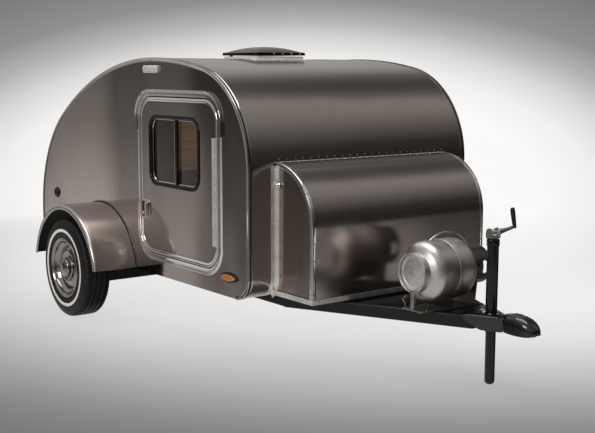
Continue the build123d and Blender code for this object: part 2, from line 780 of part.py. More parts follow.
# Gas bottle with its foot ring, collar, valve and carrying bow
dish_back = sqrt((dish_rad - knuckle_rad) ** 2 - (bottle_rad - knuckle_rad) ** 2)
dish_a = degrees(asin((bottle_rad - knuckle_rad) / (dish_rad - knuckle_rad)))
head_depth = dish_rad - dish_back
with BuildPart() as gas_bottle:
    with BuildSketch(Plane(origin=(bottle_x, bottle_y, bottle_z), x_dir=(0, 1, 0), z_dir=(1, 0, 0))):
        with BuildLine():
            CenterArc((bottle_foot + dish_back, 0), dish_rad, 180 - dish_a, dish_a)
            CenterArc((bottle_foot, bottle_rad - knuckle_rad), knuckle_rad, 90, 90 - dish_a)
            Line((bottle_foot, bottle_rad), (bottle_neck, bottle_rad))
            CenterArc((bottle_neck, bottle_rad - knuckle_rad), knuckle_rad, dish_a, 90 - dish_a)
            CenterArc((bottle_neck - dish_back, 0), dish_rad, 0, dish_a)
            Line((bottle_foot - head_depth, 0), (bottle_neck + head_depth, 0))
        make_face()
        with Locations((bottle_foot - head_depth, ring_rad - 3)):
            Rectangle(40, 6)
    revolve(axis=Axis((bottle_x, 0, bottle_z), (0, 1, 0)))

neck_y = bottle_y + bottle_neck + head_depth
collar_y = bottle_y + bottle_neck - dish_back + sqrt(dish_rad**2 - (ring_rad - 4) ** 2) + run
with BuildPart() as bottle_collar:
    with BuildSketch(side(collar_y + collar_w)):
        with Locations((bottle_x, bottle_z)):
            Circle(ring_rad)
            Circle(ring_rad - 4, mode=Mode.SUBTRACT)
    extrude(amount=collar_w)
    for s in (-1, 1):
        with Locations((bottle_x + s * (ring_rad - 2), collar_y + 84, bottle_z)):
            Box(20, 26, 60, mode=Mode.SUBTRACT)

with BuildPart() as bottle_valve:
    with Locations((bottle_x, neck_y + 30, bottle_z)):
        Cylinder(16, 60, rotation=(90, 0, 0))
    with Locations((bottle_x, neck_y + 42, bottle_z + 18)):
        Box(24, 24, 60)

with BuildPart() as bottle_bow:
    with BuildLine(Plane(origin=(bottle_x, 0, 0), x_dir=(0, 1, 0), z_dir=(1, 0, 0))) as bow:
        CenterArc((bottle_y - 15, bottle_z - 6), bow_rad, 28, 100)
    with BuildSketch(Plane(origin=bow.line @ 0, z_dir=bow.line % 0)):
        Circle(4)
    sweep()
    bottle_spans = (
        # radius, side from, side to
        (bottle_rad, bottle_y + bottle_foot, bottle_y + bottle_neck),
        (ring_rad, collar_y - 6, collar_y + collar_w),
    )
    for radius, y0, y1 in bottle_spans:
        with Locations((bottle_x, (y0 + y1) / 2, bottle_z)):
            Cylinder(radius, y1 - y0, rotation=(90, 0, 0), mode=Mode.SUBTRACT)

with BuildPart() as bottle_cradle:
    post_y = bottle_y + bottle_foot - head_depth - 2
    slab(bottle_x - 70, bottle_x + 70, post_y - 14, -tray_y + 60, tray_z, tray_z + 6)
    slab(bottle_x - 12, bottle_x + 12, post_y - 10, post_y + 10, tray_z, bottle_z - ring_rad)
    with BuildSketch(side(collar_y + 58)):
        with BuildLine():
            Polyline(
                (bottle_x - 70, tray_z),
                (bottle_x + 70, tray_z),
                (bottle_x + 90, bottle_z - 60),
                (bottle_x - 90, bottle_z - 60),
                close=True,
            )
        make_face()
        with Locations((bottle_x, bottle_z)):
            Circle(ring_rad, mode=Mode.SUBTRACT)
    extrude(amount=36)

pieces = {
    "side_wall_right": side_walls["right"],
    "side_wall_left": side_walls["left"],
    "roof_shell": roof_shell,
    "hatch": hatch,
    "hatch_handle": hatch_handle,
    "tail_sill": tail_sill,
    "edge_trims": edge_trims,
    "floor_panel": floor_panel,
    "bulkhead": bulkhead,
    "galley_cabinet": galley_cabinet,
    "mattress": mattress,
    "door_frames": door_frames,
    "door_right": doors["right"],
    "door_left": doors["left"],
    "window_frame_right": panes["right"],
    "window_frame_left": panes["left"],
    "door_glass_right": glasses["right"],
    "door_glass_left": glasses["left"],
    "door_latch_right": latches["right"],
    "door_latch_left": latches["left"],
    "box_shell": box_shell,
    "hinge_strips": hinge_strips,
    "box_lid": box_lid,
    "vent_base": vent_base,
    "vent_lid": vent_lid,
    "porch_lamps": porch_lamps,
    "marker_lamps": marker_lamps,
    "tail_lamps": tail_lamps,
    "cable_outlet": cable_outlet,
    "fenders": fenders,
    "tyre_right": tyres["right"],
    "tyre_left": tyres["left"],
    "wheel_right": wheels["right"],
    "wheel_left": wheels["left"],
    "chassis": chassis,
    "axle_beam": axle_beam,
    "coupler": coupler,
    "jack_tube": jack_tube,
    "jack_crank": jack_crank,
    "jack_leg": jack_leg,
    "gas_bottle": gas_bottle,
    "bottle_collar": bottle_collar,
    "bottle_valve": bottle_valve,
    "bottle_bow": bottle_bow,
    "bottle_cradle": bottle_cradle,
}
for name, piece in pieces.items():
    piece.part.label = name
    export_step(piece.part, f"parts/{name}.step")
    box = piece.part.bounding_box()
    print(name, len(piece.part.solids()), [round(v) for v in (*box.min, *box.max)], round(piece.part.volume / 1e6, 2))
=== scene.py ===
# %% [markdown]
# # A riveted aluminium teardrop trailer
#
# The part is a small camping trailer: a teardrop cabin of sheet aluminium, a curved storage box on
# its front wall, one axle with arched fenders, and a drawbar that carries a gas bottle and a jack.
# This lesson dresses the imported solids. Each cell makes one piece of the real trailer, in metres,
# where the frame says that it is: +X points to the coupler, +Y to the trailer's left side, +Z up.

# %% Load the frame
import json
import math
from math import acos, asin, cos, degrees, hypot, pi, radians, sin, sqrt

import bmesh
import bpy
from mathutils import Matrix, Vector

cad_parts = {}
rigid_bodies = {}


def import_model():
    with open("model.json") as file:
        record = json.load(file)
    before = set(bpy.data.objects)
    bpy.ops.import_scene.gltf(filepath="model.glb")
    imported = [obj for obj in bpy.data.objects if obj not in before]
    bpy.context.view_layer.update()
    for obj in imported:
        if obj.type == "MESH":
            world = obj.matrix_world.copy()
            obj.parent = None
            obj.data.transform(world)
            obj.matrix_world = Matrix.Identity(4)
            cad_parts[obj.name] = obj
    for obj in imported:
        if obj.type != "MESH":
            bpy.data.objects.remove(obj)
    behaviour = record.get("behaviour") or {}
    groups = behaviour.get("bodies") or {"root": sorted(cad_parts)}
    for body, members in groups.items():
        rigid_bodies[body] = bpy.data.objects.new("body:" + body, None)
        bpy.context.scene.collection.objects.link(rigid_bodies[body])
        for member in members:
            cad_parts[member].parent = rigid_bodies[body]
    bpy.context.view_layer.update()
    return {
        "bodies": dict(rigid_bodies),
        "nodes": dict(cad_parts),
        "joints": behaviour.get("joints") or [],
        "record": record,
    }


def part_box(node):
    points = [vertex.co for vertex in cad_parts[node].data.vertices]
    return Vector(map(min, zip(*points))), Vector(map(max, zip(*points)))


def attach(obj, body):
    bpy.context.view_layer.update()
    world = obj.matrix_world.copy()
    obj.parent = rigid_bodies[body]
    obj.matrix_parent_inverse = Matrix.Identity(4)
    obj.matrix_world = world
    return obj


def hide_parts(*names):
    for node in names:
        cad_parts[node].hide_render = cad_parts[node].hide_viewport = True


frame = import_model()

# %% [markdown]
# The body's outline is six arcs and two straight lines. Their radii and angles are the shape's own
# numbers. Everything else, such as the body's length and width, is read from the frame, so the
# dress keeps to the solids if they change.

# %% Read the main sizes from the frame
wall_low, wall_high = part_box("side_wall_right")
front_x = wall_high.x
rear_x = wall_low.x
body_half = -wall_low.y
inner_half = -wall_high.y
body_bottom = wall_low.z
body_top = wall_high.z
WALL = body_half - inner_half

NOSE_RAD, NOSE_DEG = 0.539, 79.0
CROWN_RAD = 2.807
BACK_RAD, BACK_DEG = 2.183, 33.3
TAIL_RAD = 0.798
TOE_RAD = 0.118
HEEL_RAD = 0.04
HATCH_DEG = 107.0
SIDES = (("right", -1), ("left", 1))


def cosd(angle):
    return cos(radians(angle))


def sind(angle):
    return sin(radians(angle))


def on_arc(centre, radius, angle):
    return (centre[0] + radius * cosd(angle), centre[1] + radius * sind(angle))


def spread(count, first, last):
    """count values from first to last."""
    return [first + (last - first) * k / (count - 1) for k in range(count)]


def arc(across, up, radius, angles):
    """Points on a circle at some angles."""
    return [on_arc((across, up), radius, a) for a in angles]


def mm(points):
    """Rows of millimetres as metres."""
    return [tuple(round(v * 0.001, 9) for v in p) for p in points]


nose_sin = sind(NOSE_DEG)
nose_c = (front_x - NOSE_RAD, body_top - CROWN_RAD * (1 - nose_sin) - NOSE_RAD * nose_sin)
crown_c = (nose_c[0] - (CROWN_RAD - NOSE_RAD) * cosd(NOSE_DEG), body_top - CROWN_RAD)
back_c = (crown_c[0], body_top - BACK_RAD)
TAIL_DEG = 90 + BACK_DEG
tail_c = on_arc(back_c, BACK_RAD - TAIL_RAD, TAIL_DEG)
toe_c = (front_x - TOE_RAD, body_bottom + TOE_RAD)
heel_c = (rear_x + HEEL_RAD, body_bottom + HEEL_RAD)
ARCS = [
    # name, centre, radius, first angle, last angle
    ("toe", toe_c, TOE_RAD, -90, 0),
    ("nose", nose_c, NOSE_RAD, 0, NOSE_DEG),
    ("crown", crown_c, CROWN_RAD, NOSE_DEG, 90),
    ("back", back_c, BACK_RAD, 90, TAIL_DEG),
    ("tail", tail_c, TAIL_RAD, TAIL_DEG, 180),
    ("heel", heel_c, HEEL_RAD, 180, 270),
]


def length_of(points):
    return sum(hypot(b[0] - a[0], b[1] - a[1]) for a, b in zip(points, points[1:]))


def outline(first, last, chord=0.012, stops=()):
    """Points on the body's outline with their outward normals, from the toe over the roof to the heel.

    first and last are (arc name, angle). stops are x values that get a point of their own on the roof.
    """
    points = []
    names = [arc[0] for arc in ARCS]
    for i in range(names.index(first[0]), names.index(last[0]) + 1):
        name, centre, radius, a0, a1 = ARCS[i]
        a0 = first[1] if name == first[0] else a0
        a1 = last[1] if name == last[0] else a1
        steps = max(2, math.ceil(radians(a1 - a0) * radius / chord), math.ceil((a1 - a0) / 4))
        angles = [a0 + (a1 - a0) * k / steps for k in range(steps + 1)]
        for x in stops:
            reach = (x - centre[0]) / radius
            if name in ("nose", "crown", "back") and abs(reach) < 1:
                a = degrees(acos(reach))
                if a0 < a < a1:
                    angles.append(a)
        for a in sorted(angles):
            p = on_arc(centre, radius, a)
            if points and hypot(p[0] - points[-1][0], p[1] - points[-1][1]) < 1e-5:
                continue
            points.append((p[0], p[1], cosd(a), sind(a)))
    return points


print("body", round(front_x - rear_x, 3), "long,", round(2 * body_half, 3), "wide")

# %% [markdown]
# The camera stands ahead of the trailer and to its right, a little above it. Its place was solved
# from the photograph, with the jack's 57 mm tube as the scale, so it is written as a real position,
# two angles and a lens.

# %% Set up the camera
CAMERA_AT = Vector((front_x + 4.3821, -3.7738, 1.522))
CAMERA_YAW, CAMERA_PITCH, CAMERA_ROLL = radians(37.0926), radians(7.9189), radians(0.1225)
CAMERA_LENS = 64.064

bpy.context.scene.view_settings.view_transform = "Standard"
look = Vector((-cos(CAMERA_YAW) * cos(CAMERA_PITCH), sin(CAMERA_YAW) * cos(CAMERA_PITCH), -sin(CAMERA_PITCH)))
level = look.cross(Vector((0, 0, 1))).normalized()
above = level.cross(look)
right = level * cos(CAMERA_ROLL) + above * sin(CAMERA_ROLL)
up = above * cos(CAMERA_ROLL) - level * sin(CAMERA_ROLL)
camera = bpy.data.objects.new("camera", bpy.data.cameras.new("camera"))
bpy.context.scene.collection.objects.link(camera)
camera.matrix_world = Matrix(
    (
        (right.x, up.x, -look.x, CAMERA_AT.x),
        (right.y, up.y, -look.y, CAMERA_AT.y),
        (right.z, up.z, -look.z, CAMERA_AT.z),
        (0, 0, 0, 1),
    )
)
camera.data.lens = CAMERA_LENS
camera.data.sensor_width = 36
bpy.context.scene.camera = camera
print("camera", [round(v, 2) for v in CAMERA_AT])

# %% [markdown]
# Most pieces of a trailer are sheet, tube or turned parts. A sheet is a grid of points, a turned
# part is one line of points swung round an axis, and a trim is a small section carried along a
# path. One helper turns points and faces into a named piece that rides on its body.

# %% Helpers that make meshes
SMOOTH_ANGLE = 32.0


def piece(name, mesh_data, materials, smooth=SMOOTH_ANGLE, bevel=0.0, segments=2, body="trailer"):
    """A mesh object from (points, faces) or (points, faces, face materials), riding on a body."""
    points, faces = mesh_data[0], mesh_data[1]
    mesh = bpy.data.meshes.new(name)
    mesh.from_pydata([tuple(p) for p in points], [], faces)
    for material in materials if isinstance(materials, (list, tuple)) else [materials]:
        mesh.materials.append(material)
    if len(mesh_data) > 2:
        mesh.polygons.foreach_set("material_index", mesh_data[2])
    work = bmesh.new()
    work.from_mesh(mesh)
    bmesh.ops.recalc_face_normals(work, faces=work.faces)
    work.to_mesh(mesh)
    work.free()
    mesh.shade_smooth()
    mesh.set_sharp_from_angle(angle=radians(smooth))
    obj = bpy.data.objects.new(name, mesh)
    bpy.context.scene.collection.objects.link(obj)
    if bevel:
        add_bevel(obj, bevel, segments)
    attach(obj, body)
    return obj


def add_bevel(obj, width, segments=2):
    """Rounds the sharp edges, as a press brake or a deburring tool leaves them."""
    modifier = obj.modifiers.new("rounded", "BEVEL")
    modifier.width = width
    modifier.segments = segments
    modifier.limit_method = "ANGLE"
    modifier.angle_limit = radians(40)
    modifier.harden_normals = True
    return obj


def joined(*meshes):
    """Several (points, faces) or (points, faces, materials) as one."""
    points, faces, kinds = [], [], []
    for mesh_data in meshes:
        base = len(points)
        points += list(mesh_data[0])
        faces += [tuple(base + i for i in face) for face in mesh_data[1]]
        kinds += list(mesh_data[2]) if len(mesh_data) > 2 else [0] * len(mesh_data[1])
    return points, faces, kinds


def block(x0, x1, y0, y1, z0, z1):
    """The eight corners and six faces of a box, a plain start for a bevelled piece."""
    points = [(x, y, z) for x in (x0, x1) for y in (y0, y1) for z in (z0, z1)]
    faces = [(0, 1, 3, 2), (4, 6, 7, 5), (0, 4, 5, 1), (2, 3, 7, 6), (0, 2, 6, 4), (1, 5, 7, 3)]
    return points, faces


def lofted(rings, closed=True, caps=True):
    """Faces between rings of equally many points. closed joins each ring's ends, caps fills the first and last."""
    count = len(rings[0])
    points = [p for ring in rings for p in ring]
    faces = []
    for i in range(len(rings) - 1):
        for j in range(count if closed else count - 1):
            k = (j + 1) % count
            faces.append((i * count + j, i * count + k, (i + 1) * count + k, (i + 1) * count + j))
    if caps:
        faces.append(tuple(range(count)))
        faces.append(tuple(range((len(rings) - 1) * count, len(rings) * count)))
    return points, faces


def turned(section, centre, steps=96, axis="y", closed=False):
    """A section of (along, radius) points swung once round an axis. closed joins its last point to its first."""
    points, faces = [], []
    for k in range(steps):
        a = 2 * pi * k / steps
        for along, radius in section:
            if axis == "y":
                points.append((centre[0] + radius * cos(a), centre[1] + along, centre[2] + radius * sin(a)))
            elif axis == "z":
                points.append((centre[0] + radius * cos(a), centre[1] + radius * sin(a), centre[2] + along))
            else:
                points.append((centre[0] + along, centre[1] + radius * cos(a), centre[2] + radius * sin(a)))
    count = len(section)
    for k in range(steps):
        m = (k + 1) % steps
        for j in range(count if closed else count - 1):
            n = (j + 1) % count
            faces.append((k * count + j, k * count + n, m * count + n, m * count + j))
    return points, faces


def carried(section, path, closed_path=False):
    """A closed section of (out, across) points carried along a path of (point, out vector, across vector)."""
    rings = [[p + out * a + across * b for a, b in section] for p, out, across in path]
    if closed_path:
        points, faces = lofted(rings + [rings[0]], True, False)
        count = len(section)
        total = len(rings) * count
        return points[:total], [tuple(i % total for i in face) for face in faces]
    return lofted(rings, True, True)


def side_path(points, s, y):
    """An outline in x and z as a path on one side of the body, its section drawn outwards and away from the middle."""
    return [(Vector((x, s * y, z)), Vector((nx, 0, nz)), Vector((0, s, 0))) for x, z, nx, nz in points]


def rounded_path(x0, x1, z0, z1, radius, steps=10, start=0, stop=4):
    """Points with outward normals round a rectangle with round corners, from the middle of its right side."""
    corners = [(x1 - radius, z1 - radius, 0), (x0 + radius, z1 - radius, 90)]
    corners += [(x0 + radius, z0 + radius, 180), (x1 - radius, z0 + radius, 270)]
    points = []
    for cx, cz, a0 in corners[start:stop]:
        for k in range(steps + 1):
            a = radians(a0 + 90 * k / steps)
            points.append((cx + radius * cos(a), cz + radius * sin(a), cos(a), sin(a)))
    return points


def plate(loops, y0, y1):
    """A flat plate in the x and z plane between two y values. The first loop is its edge and the rest are holes."""
    curve = bpy.data.curves.new("plate", "CURVE")
    curve.dimensions = "2D"
    curve.fill_mode = "BOTH"
    curve.extrude = abs(y1 - y0) / 2
    for loop in loops:
        spline = curve.splines.new("POLY")
        spline.points.add(len(loop) - 1)
        for point, (x, z) in zip(spline.points, loop):
            point.co = (x, z, 0, 1)
        spline.use_cyclic_u = True
    holder = bpy.data.objects.new("plate", curve)
    bpy.context.scene.collection.objects.link(holder)
    bpy.context.view_layer.update()
    mesh = bpy.data.meshes.new_from_object(holder)
    middle = (y0 + y1) / 2
    points = [(v.co.x, middle - v.co.z, v.co.y) for v in mesh.vertices]
    faces = [tuple(p.vertices) for p in mesh.polygons]
    bpy.data.objects.remove(holder)
    bpy.data.curves.remove(curve)
    bpy.data.meshes.remove(mesh)
    return welded(points, faces)


def welded(points, faces):
    """Joins points that lie on each other."""
    found, index = {}, []
    kept = []
    for p in points:
        key = tuple(round(v, 6) for v in p)
        if key not in found:
            found[key] = len(kept)
            kept.append(p)
        index.append(found[key])
    clean = []
    for face in faces:
        face = tuple(dict.fromkeys(index[i] for i in face))
        if len(face) > 2:
            clean.append(face)
    return kept, clean


def by_side(mesh_data, s, y, inside=1, edge=0):
    """Face materials for a plate on side s: inside where a face looks into the cabin, and edge elsewhere."""
    points, faces = mesh_data[0], mesh_data[1]
    kinds = []
    for face in faces:
        flat = all(abs(points[i][1] - s * y) < 1e-5 for i in face)
        kinds.append(inside if flat else edge)
    return points, faces, kinds


def rivets(places, radius=0.0045, height=0.0022, sides=8):
    """Low domed heads at (point, normal) places, all in one mesh."""
    parts = []
    for point, normal in places:
        normal = Vector(normal).normalized()
        side_a = normal.orthogonal().normalized()
        side_b = normal.cross(side_a)
        rings = []
        for lift, share in ((-0.4, 1.0), (0.35, 0.95), (0.8, 0.6)):
            ring = []
            for k in range(sides):
                a = 2 * pi * k / sides
                across = side_a * cos(a) + side_b * sin(a)
                ring.append(Vector(point) + normal * height * lift + across * radius * share)
            rings.append(ring)
        points, faces = lofted(rings, True, False)
        points = list(points) + [Vector(point) + normal * height]
        top = len(points) - 1
        faces += [((len(rings) - 1) * sides + j, (len(rings) - 1) * sides + (j + 1) % sides, top)
            for j in range(sides)]
        parts.append((points, faces))
    return joined(*parts)


def rod(name, points, radius, material, body, sides=6, kind="NURBS", order=3):
    """A round rod along a line of points."""
    curve = bpy.data.curves.new(name, "CURVE")
    curve.dimensions = "3D"
    curve.bevel_depth = radius
    curve.bevel_resolution = sides
    curve.use_fill_caps = True
    spline = curve.splines.new(kind)
    spline.points.add(len(points) - 1)
    for point, p in zip(spline.points, points):
        point.co = (*p, 1)
    if kind == "NURBS":
        spline.order_u = order
        spline.use_endpoint_u = True
    curve.materials.append(material)
    obj = bpy.data.objects.new(name, curve)
    bpy.context.scene.collection.objects.link(obj)
    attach(obj, body)
    return obj


print("helpers ready")

# %% [markdown]
# ## Finishes
#
# The cabin is mill-finish aluminium that has been buffed, so it mirrors its surroundings softly and
# shows fine streaks along the way it was rolled. A streak is noise that is stretched along one axis.
# It drives the roughness and a faint bump, and a second, larger noise clouds the surface the way
# hands and weather do. The coordinates are the object's own, so all sheets share one grain size.

# %% Helpers for node materials
def node(tree, kind, inputs=(), **settings):
    """A node with its settings. Each input is linked where it gets a socket, and set where it gets a value."""
    made = tree.nodes.new("ShaderNode" + kind)
    for key, value in settings.items():
        setattr(made, key, value)
    feed(tree, made, dict(inputs))
    return made


def feed(tree, made, inputs):
    for key, value in inputs.items():
        if isinstance(value, bpy.types.NodeSocket):
            tree.links.new(value, made.inputs[key])
        else:
            made.inputs[key].default_value = value


def new_material(name):
    material = bpy.data.materials.new(name)
    material.use_nodes = True
    tree = material.node_tree
    tree.nodes.clear()
    shader = node(tree, "BsdfPrincipled")
    node(tree, "OutputMaterial", {"Surface": shader.outputs["BSDF"]})
    return material, tree, shader


def own_place(tree, stretch=None):
    """The object's own coordinates, pulled by the stretch on each axis."""
    place = node(tree, "TexCoord").outputs["Object"]
    return node(tree, "Mapping", {"Vector": place, "Scale": stretch}).outputs["Vector"] if stretch else place


def noise_at(tree, stretch, scale, detail=4.0, roughness=0.55):
    """A noise whose grain is pulled by the stretch on each axis."""
    inputs = {"Vector": own_place(tree, stretch), "Scale": scale, "Detail": detail, "Roughness": roughness}
    return node(tree, "TexNoise", inputs).outputs["Fac"]


def ranged(tree, value, low, high, start=0.3, stop=0.7):
    """Maps the useful middle of a noise onto a range."""
    inputs = {"Value": value, "From Min": start, "From Max": stop, "To Min": low, "To Max": high}
    return node(tree, "MapRange", inputs).outputs["Result"]


def blended(tree, value, first, second):
    """A colour between two others."""
    inputs = {"Factor": value, "A": (*first, 1), "B": (*second, 1)}
    return node(tree, "Mix", inputs, data_type="RGBA").outputs["Result"]


def clouded(tree, value, dark, light, start=0.3, stop=0.7):
    """A colour that a noise moves from dark to light."""
    return blended(tree, ranged(tree, value, 0, 1, start, stop), dark, light)


def bumped(tree, shader, value, strength, distance, under=None):
    made = node(tree, "Bump", {"Strength": strength, "Distance": distance, "Height": value})
    if under:
        feed(tree, made, {"Normal": under.outputs["Normal"]})
    feed(tree, shader, {"Normal": made.outputs["Normal"]})
    return made


def combined(tree, first, second, operation="MULTIPLY"):
    return node(tree, "Math", {0: first, 1: second}, operation=operation).outputs["Value"]


def waves_along(tree, axes, **inputs):
    """Fine waves along each of some axes."""
    place = own_place(tree)
    keys = {key.replace("_", " ").title(): value for key, value in inputs.items()}
    return [node(tree, "TexWave", {"Vector": place, **keys}, bands_direction=axis).outputs["Fac"]
        for axis in axes]


def sheet_metal(name, light, dark, grain, rough=(0.16, 0.22), bump=0.03, wave=0.0, grain_scale=90.0):
    """Bare metal with a rolled grain. grain is the stretch on x, y and z: small along the streaks.
    wave is the depth in metres of the slow swells that thin sheet always has."""
    material, tree, shader = new_material(name)
    streak = noise_at(tree, grain, grain_scale, 4.0, 0.5)
    swell = noise_at(tree, (1, 1, 0.6), 1.7, 1.0, 0.4)
    feed(tree, shader, {
        "Base Color": clouded(tree, streak, dark, light), "Roughness": ranged(tree, streak, *rough),
        "Metallic": 1.0,
    })
    slow = bumped(tree, shader, swell, 1.0, wave)
    bumped(tree, shader, streak, bump, 0.0004, slow)
    return material


def plain_metal(name, light, dark, rough=(0.1, 0.25), scale=14.0, bump=0.04):
    """Plated or polished metal with faint clouding and tiny scratches."""
    material, tree, shader = new_material(name)
    clouds = noise_at(tree, (1, 1, 1), scale, 4.0, 0.6)
    fine = noise_at(tree, (1, 1, 1), scale * 25, 2.0, 0.5)
    feed(tree, shader, {
        "Base Color": clouded(tree, clouds, dark, light), "Roughness": ranged(tree, clouds, *rough),
        "Metallic": 1.0,
    })
    bumped(tree, shader, fine, bump, 0.0005)
    return material


def coated(name, light, dark, rough=(0.25, 0.4), scale=20.0, bump=0.1, coat=0.0, shine=0.5):
    """Paint, plastic or rubber: no metal in it, with a fine orange peel or mould grain."""
    material, tree, shader = new_material(name)
    clouds = noise_at(tree, (1, 1, 1), scale, 4.0, 0.6)
    fine = noise_at(tree, (1, 1, 1), scale * 12, 3.0, 0.6)
    feed(tree, shader, {
        "Base Color": clouded(tree, clouds, dark, light), "Roughness": ranged(tree, clouds, *rough),
        "Specular IOR Level": shine, "Coat Weight": coat, "Coat Roughness": 0.08,
    })
    bumped(tree, shader, fine, bump, 0.0006)
    return material


# %% Metals, paint, rubber and plastic
SKIN_LIGHT, SKIN_DARK = (0.44, 0.385, 0.35), (0.38, 0.33, 0.3)
BRIGHT_LIGHT, BRIGHT_DARK = (0.88, 0.86, 0.845), (0.8, 0.775, 0.755)
UPRIGHT, LENGTHWAYS, ANY_WAY = (5, 5, 0.2), (5, 0.12, 5), (1, 1, 1)

side_skin = sheet_metal("side_skin", SKIN_LIGHT, SKIN_DARK, UPRIGHT, (0.05, 0.09), 0.03, 0.01)
door_skin = sheet_metal("door_skin", SKIN_LIGHT, SKIN_DARK, UPRIGHT, (0.06, 0.1), 0.03, 0.01)
roof_skin_metal = sheet_metal("roof_skin_metal", SKIN_LIGHT, SKIN_DARK, LENGTHWAYS, (0.15, 0.21), 0.02, 0.01)
box_skin = sheet_metal("box_skin", SKIN_LIGHT, SKIN_DARK, LENGTHWAYS, (0.18, 0.24), 0.02, 0.008)
box_side_skin = sheet_metal("box_side_skin", SKIN_LIGHT, SKIN_DARK, UPRIGHT, (0.16, 0.22), 0.03, 0.02)
fender_skin = sheet_metal(
    "fender_skin", (0.52, 0.475, 0.445), (0.505, 0.46, 0.43), ANY_WAY, (0.23, 0.25), 0.0, 0.003, 40.0)
bright_trim = plain_metal("bright_trim", BRIGHT_LIGHT, BRIGHT_DARK, (0.06, 0.12))
edge_metal = plain_metal("edge_metal", (0.52, 0.48, 0.45), (0.42, 0.39, 0.36), (0.05, 0.1))
satin_trim = plain_metal("satin_trim", (0.95, 0.93, 0.9), (0.84, 0.82, 0.79), (0.36, 0.46))
wheel_chrome = plain_metal("wheel_chrome", (0.34, 0.32, 0.31), (0.28, 0.265, 0.255), (0.03, 0.07), 20.0, 0.0)
chrome = plain_metal("chrome", (0.7, 0.685, 0.67), (0.6, 0.585, 0.57), (0.03, 0.08), 20.0, 0.01)
zinc = plain_metal("zinc", (0.5, 0.48, 0.45), (0.34, 0.32, 0.3), (0.25, 0.4), 40.0, 0.12)
bottle_metal = sheet_metal(
    "bottle_metal", (0.62, 0.59, 0.565), (0.55, 0.52, 0.5), ANY_WAY, (0.34, 0.44), 0.02, 0.006, 30.0)
bottle_end = plain_metal("bottle_end", (0.86, 0.83, 0.81), (0.66, 0.62, 0.59), (0.35, 0.5), 60.0, 0.25)
dark_bottle = plain_metal("dark_bottle", (0.15, 0.14, 0.13), (0.08, 0.075, 0.07), (0.3, 0.5), 30.0, 0.1)
brass = plain_metal("brass", (0.78, 0.58, 0.24), (0.52, 0.36, 0.13), (0.2, 0.4), 60.0, 0.1)
black_paint = coated("black_paint", (0.01, 0.009, 0.009), (0.005, 0.005, 0.005), (0.14, 0.24), 12.0, 0.05,
    shine=0.32)
black_gloss = coated("black_gloss", (0.008, 0.007, 0.007), (0.004, 0.004, 0.004), (0.07, 0.12), 9.0, 0.02, 0.6)
undercoat = coated("undercoat", (0.03, 0.028, 0.027), (0.012, 0.011, 0.011), (0.55, 0.8), 9.0, 0.5)
black_frame = coated("black_frame", (0.009, 0.008, 0.008), (0.004, 0.004, 0.004), (0.16, 0.26), 18.0, 0.03,
    shine=0.22)
black_plastic = coated("black_plastic", (0.012, 0.011, 0.011), (0.006, 0.006, 0.006), (0.3, 0.5), 30.0, 0.2,
    shine=0.3)
smoked_plastic = coated("smoked_plastic", (0.007, 0.006, 0.006), (0.004, 0.004, 0.004), (0.1, 0.18), 8.0, 0.02,
    shine=0.3)
white_plastic = coated("white_plastic", (0.8, 0.79, 0.76), (0.68, 0.665, 0.635), (0.35, 0.5), 10.0, 0.08)
rubber_seal = coated("rubber_seal", (0.01, 0.009, 0.009), (0.005, 0.005, 0.005), (0.5, 0.7), 40.0, 0.2,
    shine=0.25)
white_rubber = coated("white_rubber", (0.93, 0.92, 0.9), (0.86, 0.85, 0.82), (0.45, 0.6), 30.0, 0.05)
tyre_rubber = coated("tyre_rubber", (0.013, 0.011, 0.01), (0.007, 0.006, 0.006), (0.4, 0.55), 26.0, 0.25,
    shine=0.25)
print("metals and coatings ready")

# %% [markdown]
# Plywood shows its grain in the face and its plies on the edge. The grain is a wave pulled along
# one axis and bent by noise. The lenses and window panes let light through, so they are glass with
# a tint. Cloth has a weave: two fine waves crossed, one for the warp and one for the weft.

# %% Wood, glass, lenses and cloth
def plywood(name, light, dark, along):
    material, tree, shader = new_material(name)
    grain = {"Vector": own_place(tree, along), "Scale": 3.0, "Distortion": 7.0, "Detail": 4.0,
        "Detail Scale": 1.6}
    wave = node(tree, "TexWave", grain).outputs["Fac"]
    pores = noise_at(tree, along, 45.0, 4.0, 0.6)
    figure = combined(tree, wave, pores, "ADD")
    feed(tree, shader, {
        "Base Color": clouded(tree, figure, dark, light, 0.5, 1.5), "Roughness": ranged(tree, pores, 0.32, 0.5),
        "Coat Weight": 0.25,
    })
    bumped(tree, shader, pores, 0.08, 0.0006)
    return material


def clear_pane(name, colour, rough=0.02):
    material, tree, shader = new_material(name)
    haze = noise_at(tree, (1, 1, 1), 9.0, 3.0)
    feed(tree, shader, {
        "Base Color": clouded(tree, haze, colour, [c * 0.92 for c in colour]),
        "Roughness": ranged(tree, haze, rough, rough + 0.02),
        "Transmission Weight": 1.0, "IOR": 1.45, "Specular IOR Level": 0.2,
    })
    return material


def lens(name, light, dark, ribs):
    """A moulded lens: part clear, part coloured plastic, with fine ribs pressed in its face."""
    material, tree, shader = new_material(name)
    wave = waves_along(tree, "X", scale=ribs)[0]
    clouds = noise_at(tree, (1, 1, 1), 60.0)
    feed(tree, shader, {
        "Base Color": clouded(tree, clouds, dark, light), "Roughness": ranged(tree, clouds, 0.08, 0.16),
        "Transmission Weight": 0.35, "Subsurface Weight": 0.2, "Coat Weight": 0.6,
    })
    bumped(tree, shader, wave, 0.5, 0.001)
    return material


def cloth(name, light, dark, threads=420.0):
    material, tree, shader = new_material(name)
    weave = combined(tree, *waves_along(tree, "XY", scale=threads, distortion=0.6))
    clouds = noise_at(tree, (1, 1, 1), 5.0, 4.0)
    tone = combined(tree, weave, clouds, "ADD")
    feed(tree, shader, {
        "Base Color": clouded(tree, tone, dark, light, 0.3, 1.2), "Roughness": 0.9, "Sheen Weight": 0.35,
    })
    bumped(tree, shader, weave, 0.35, 0.0008)
    return material


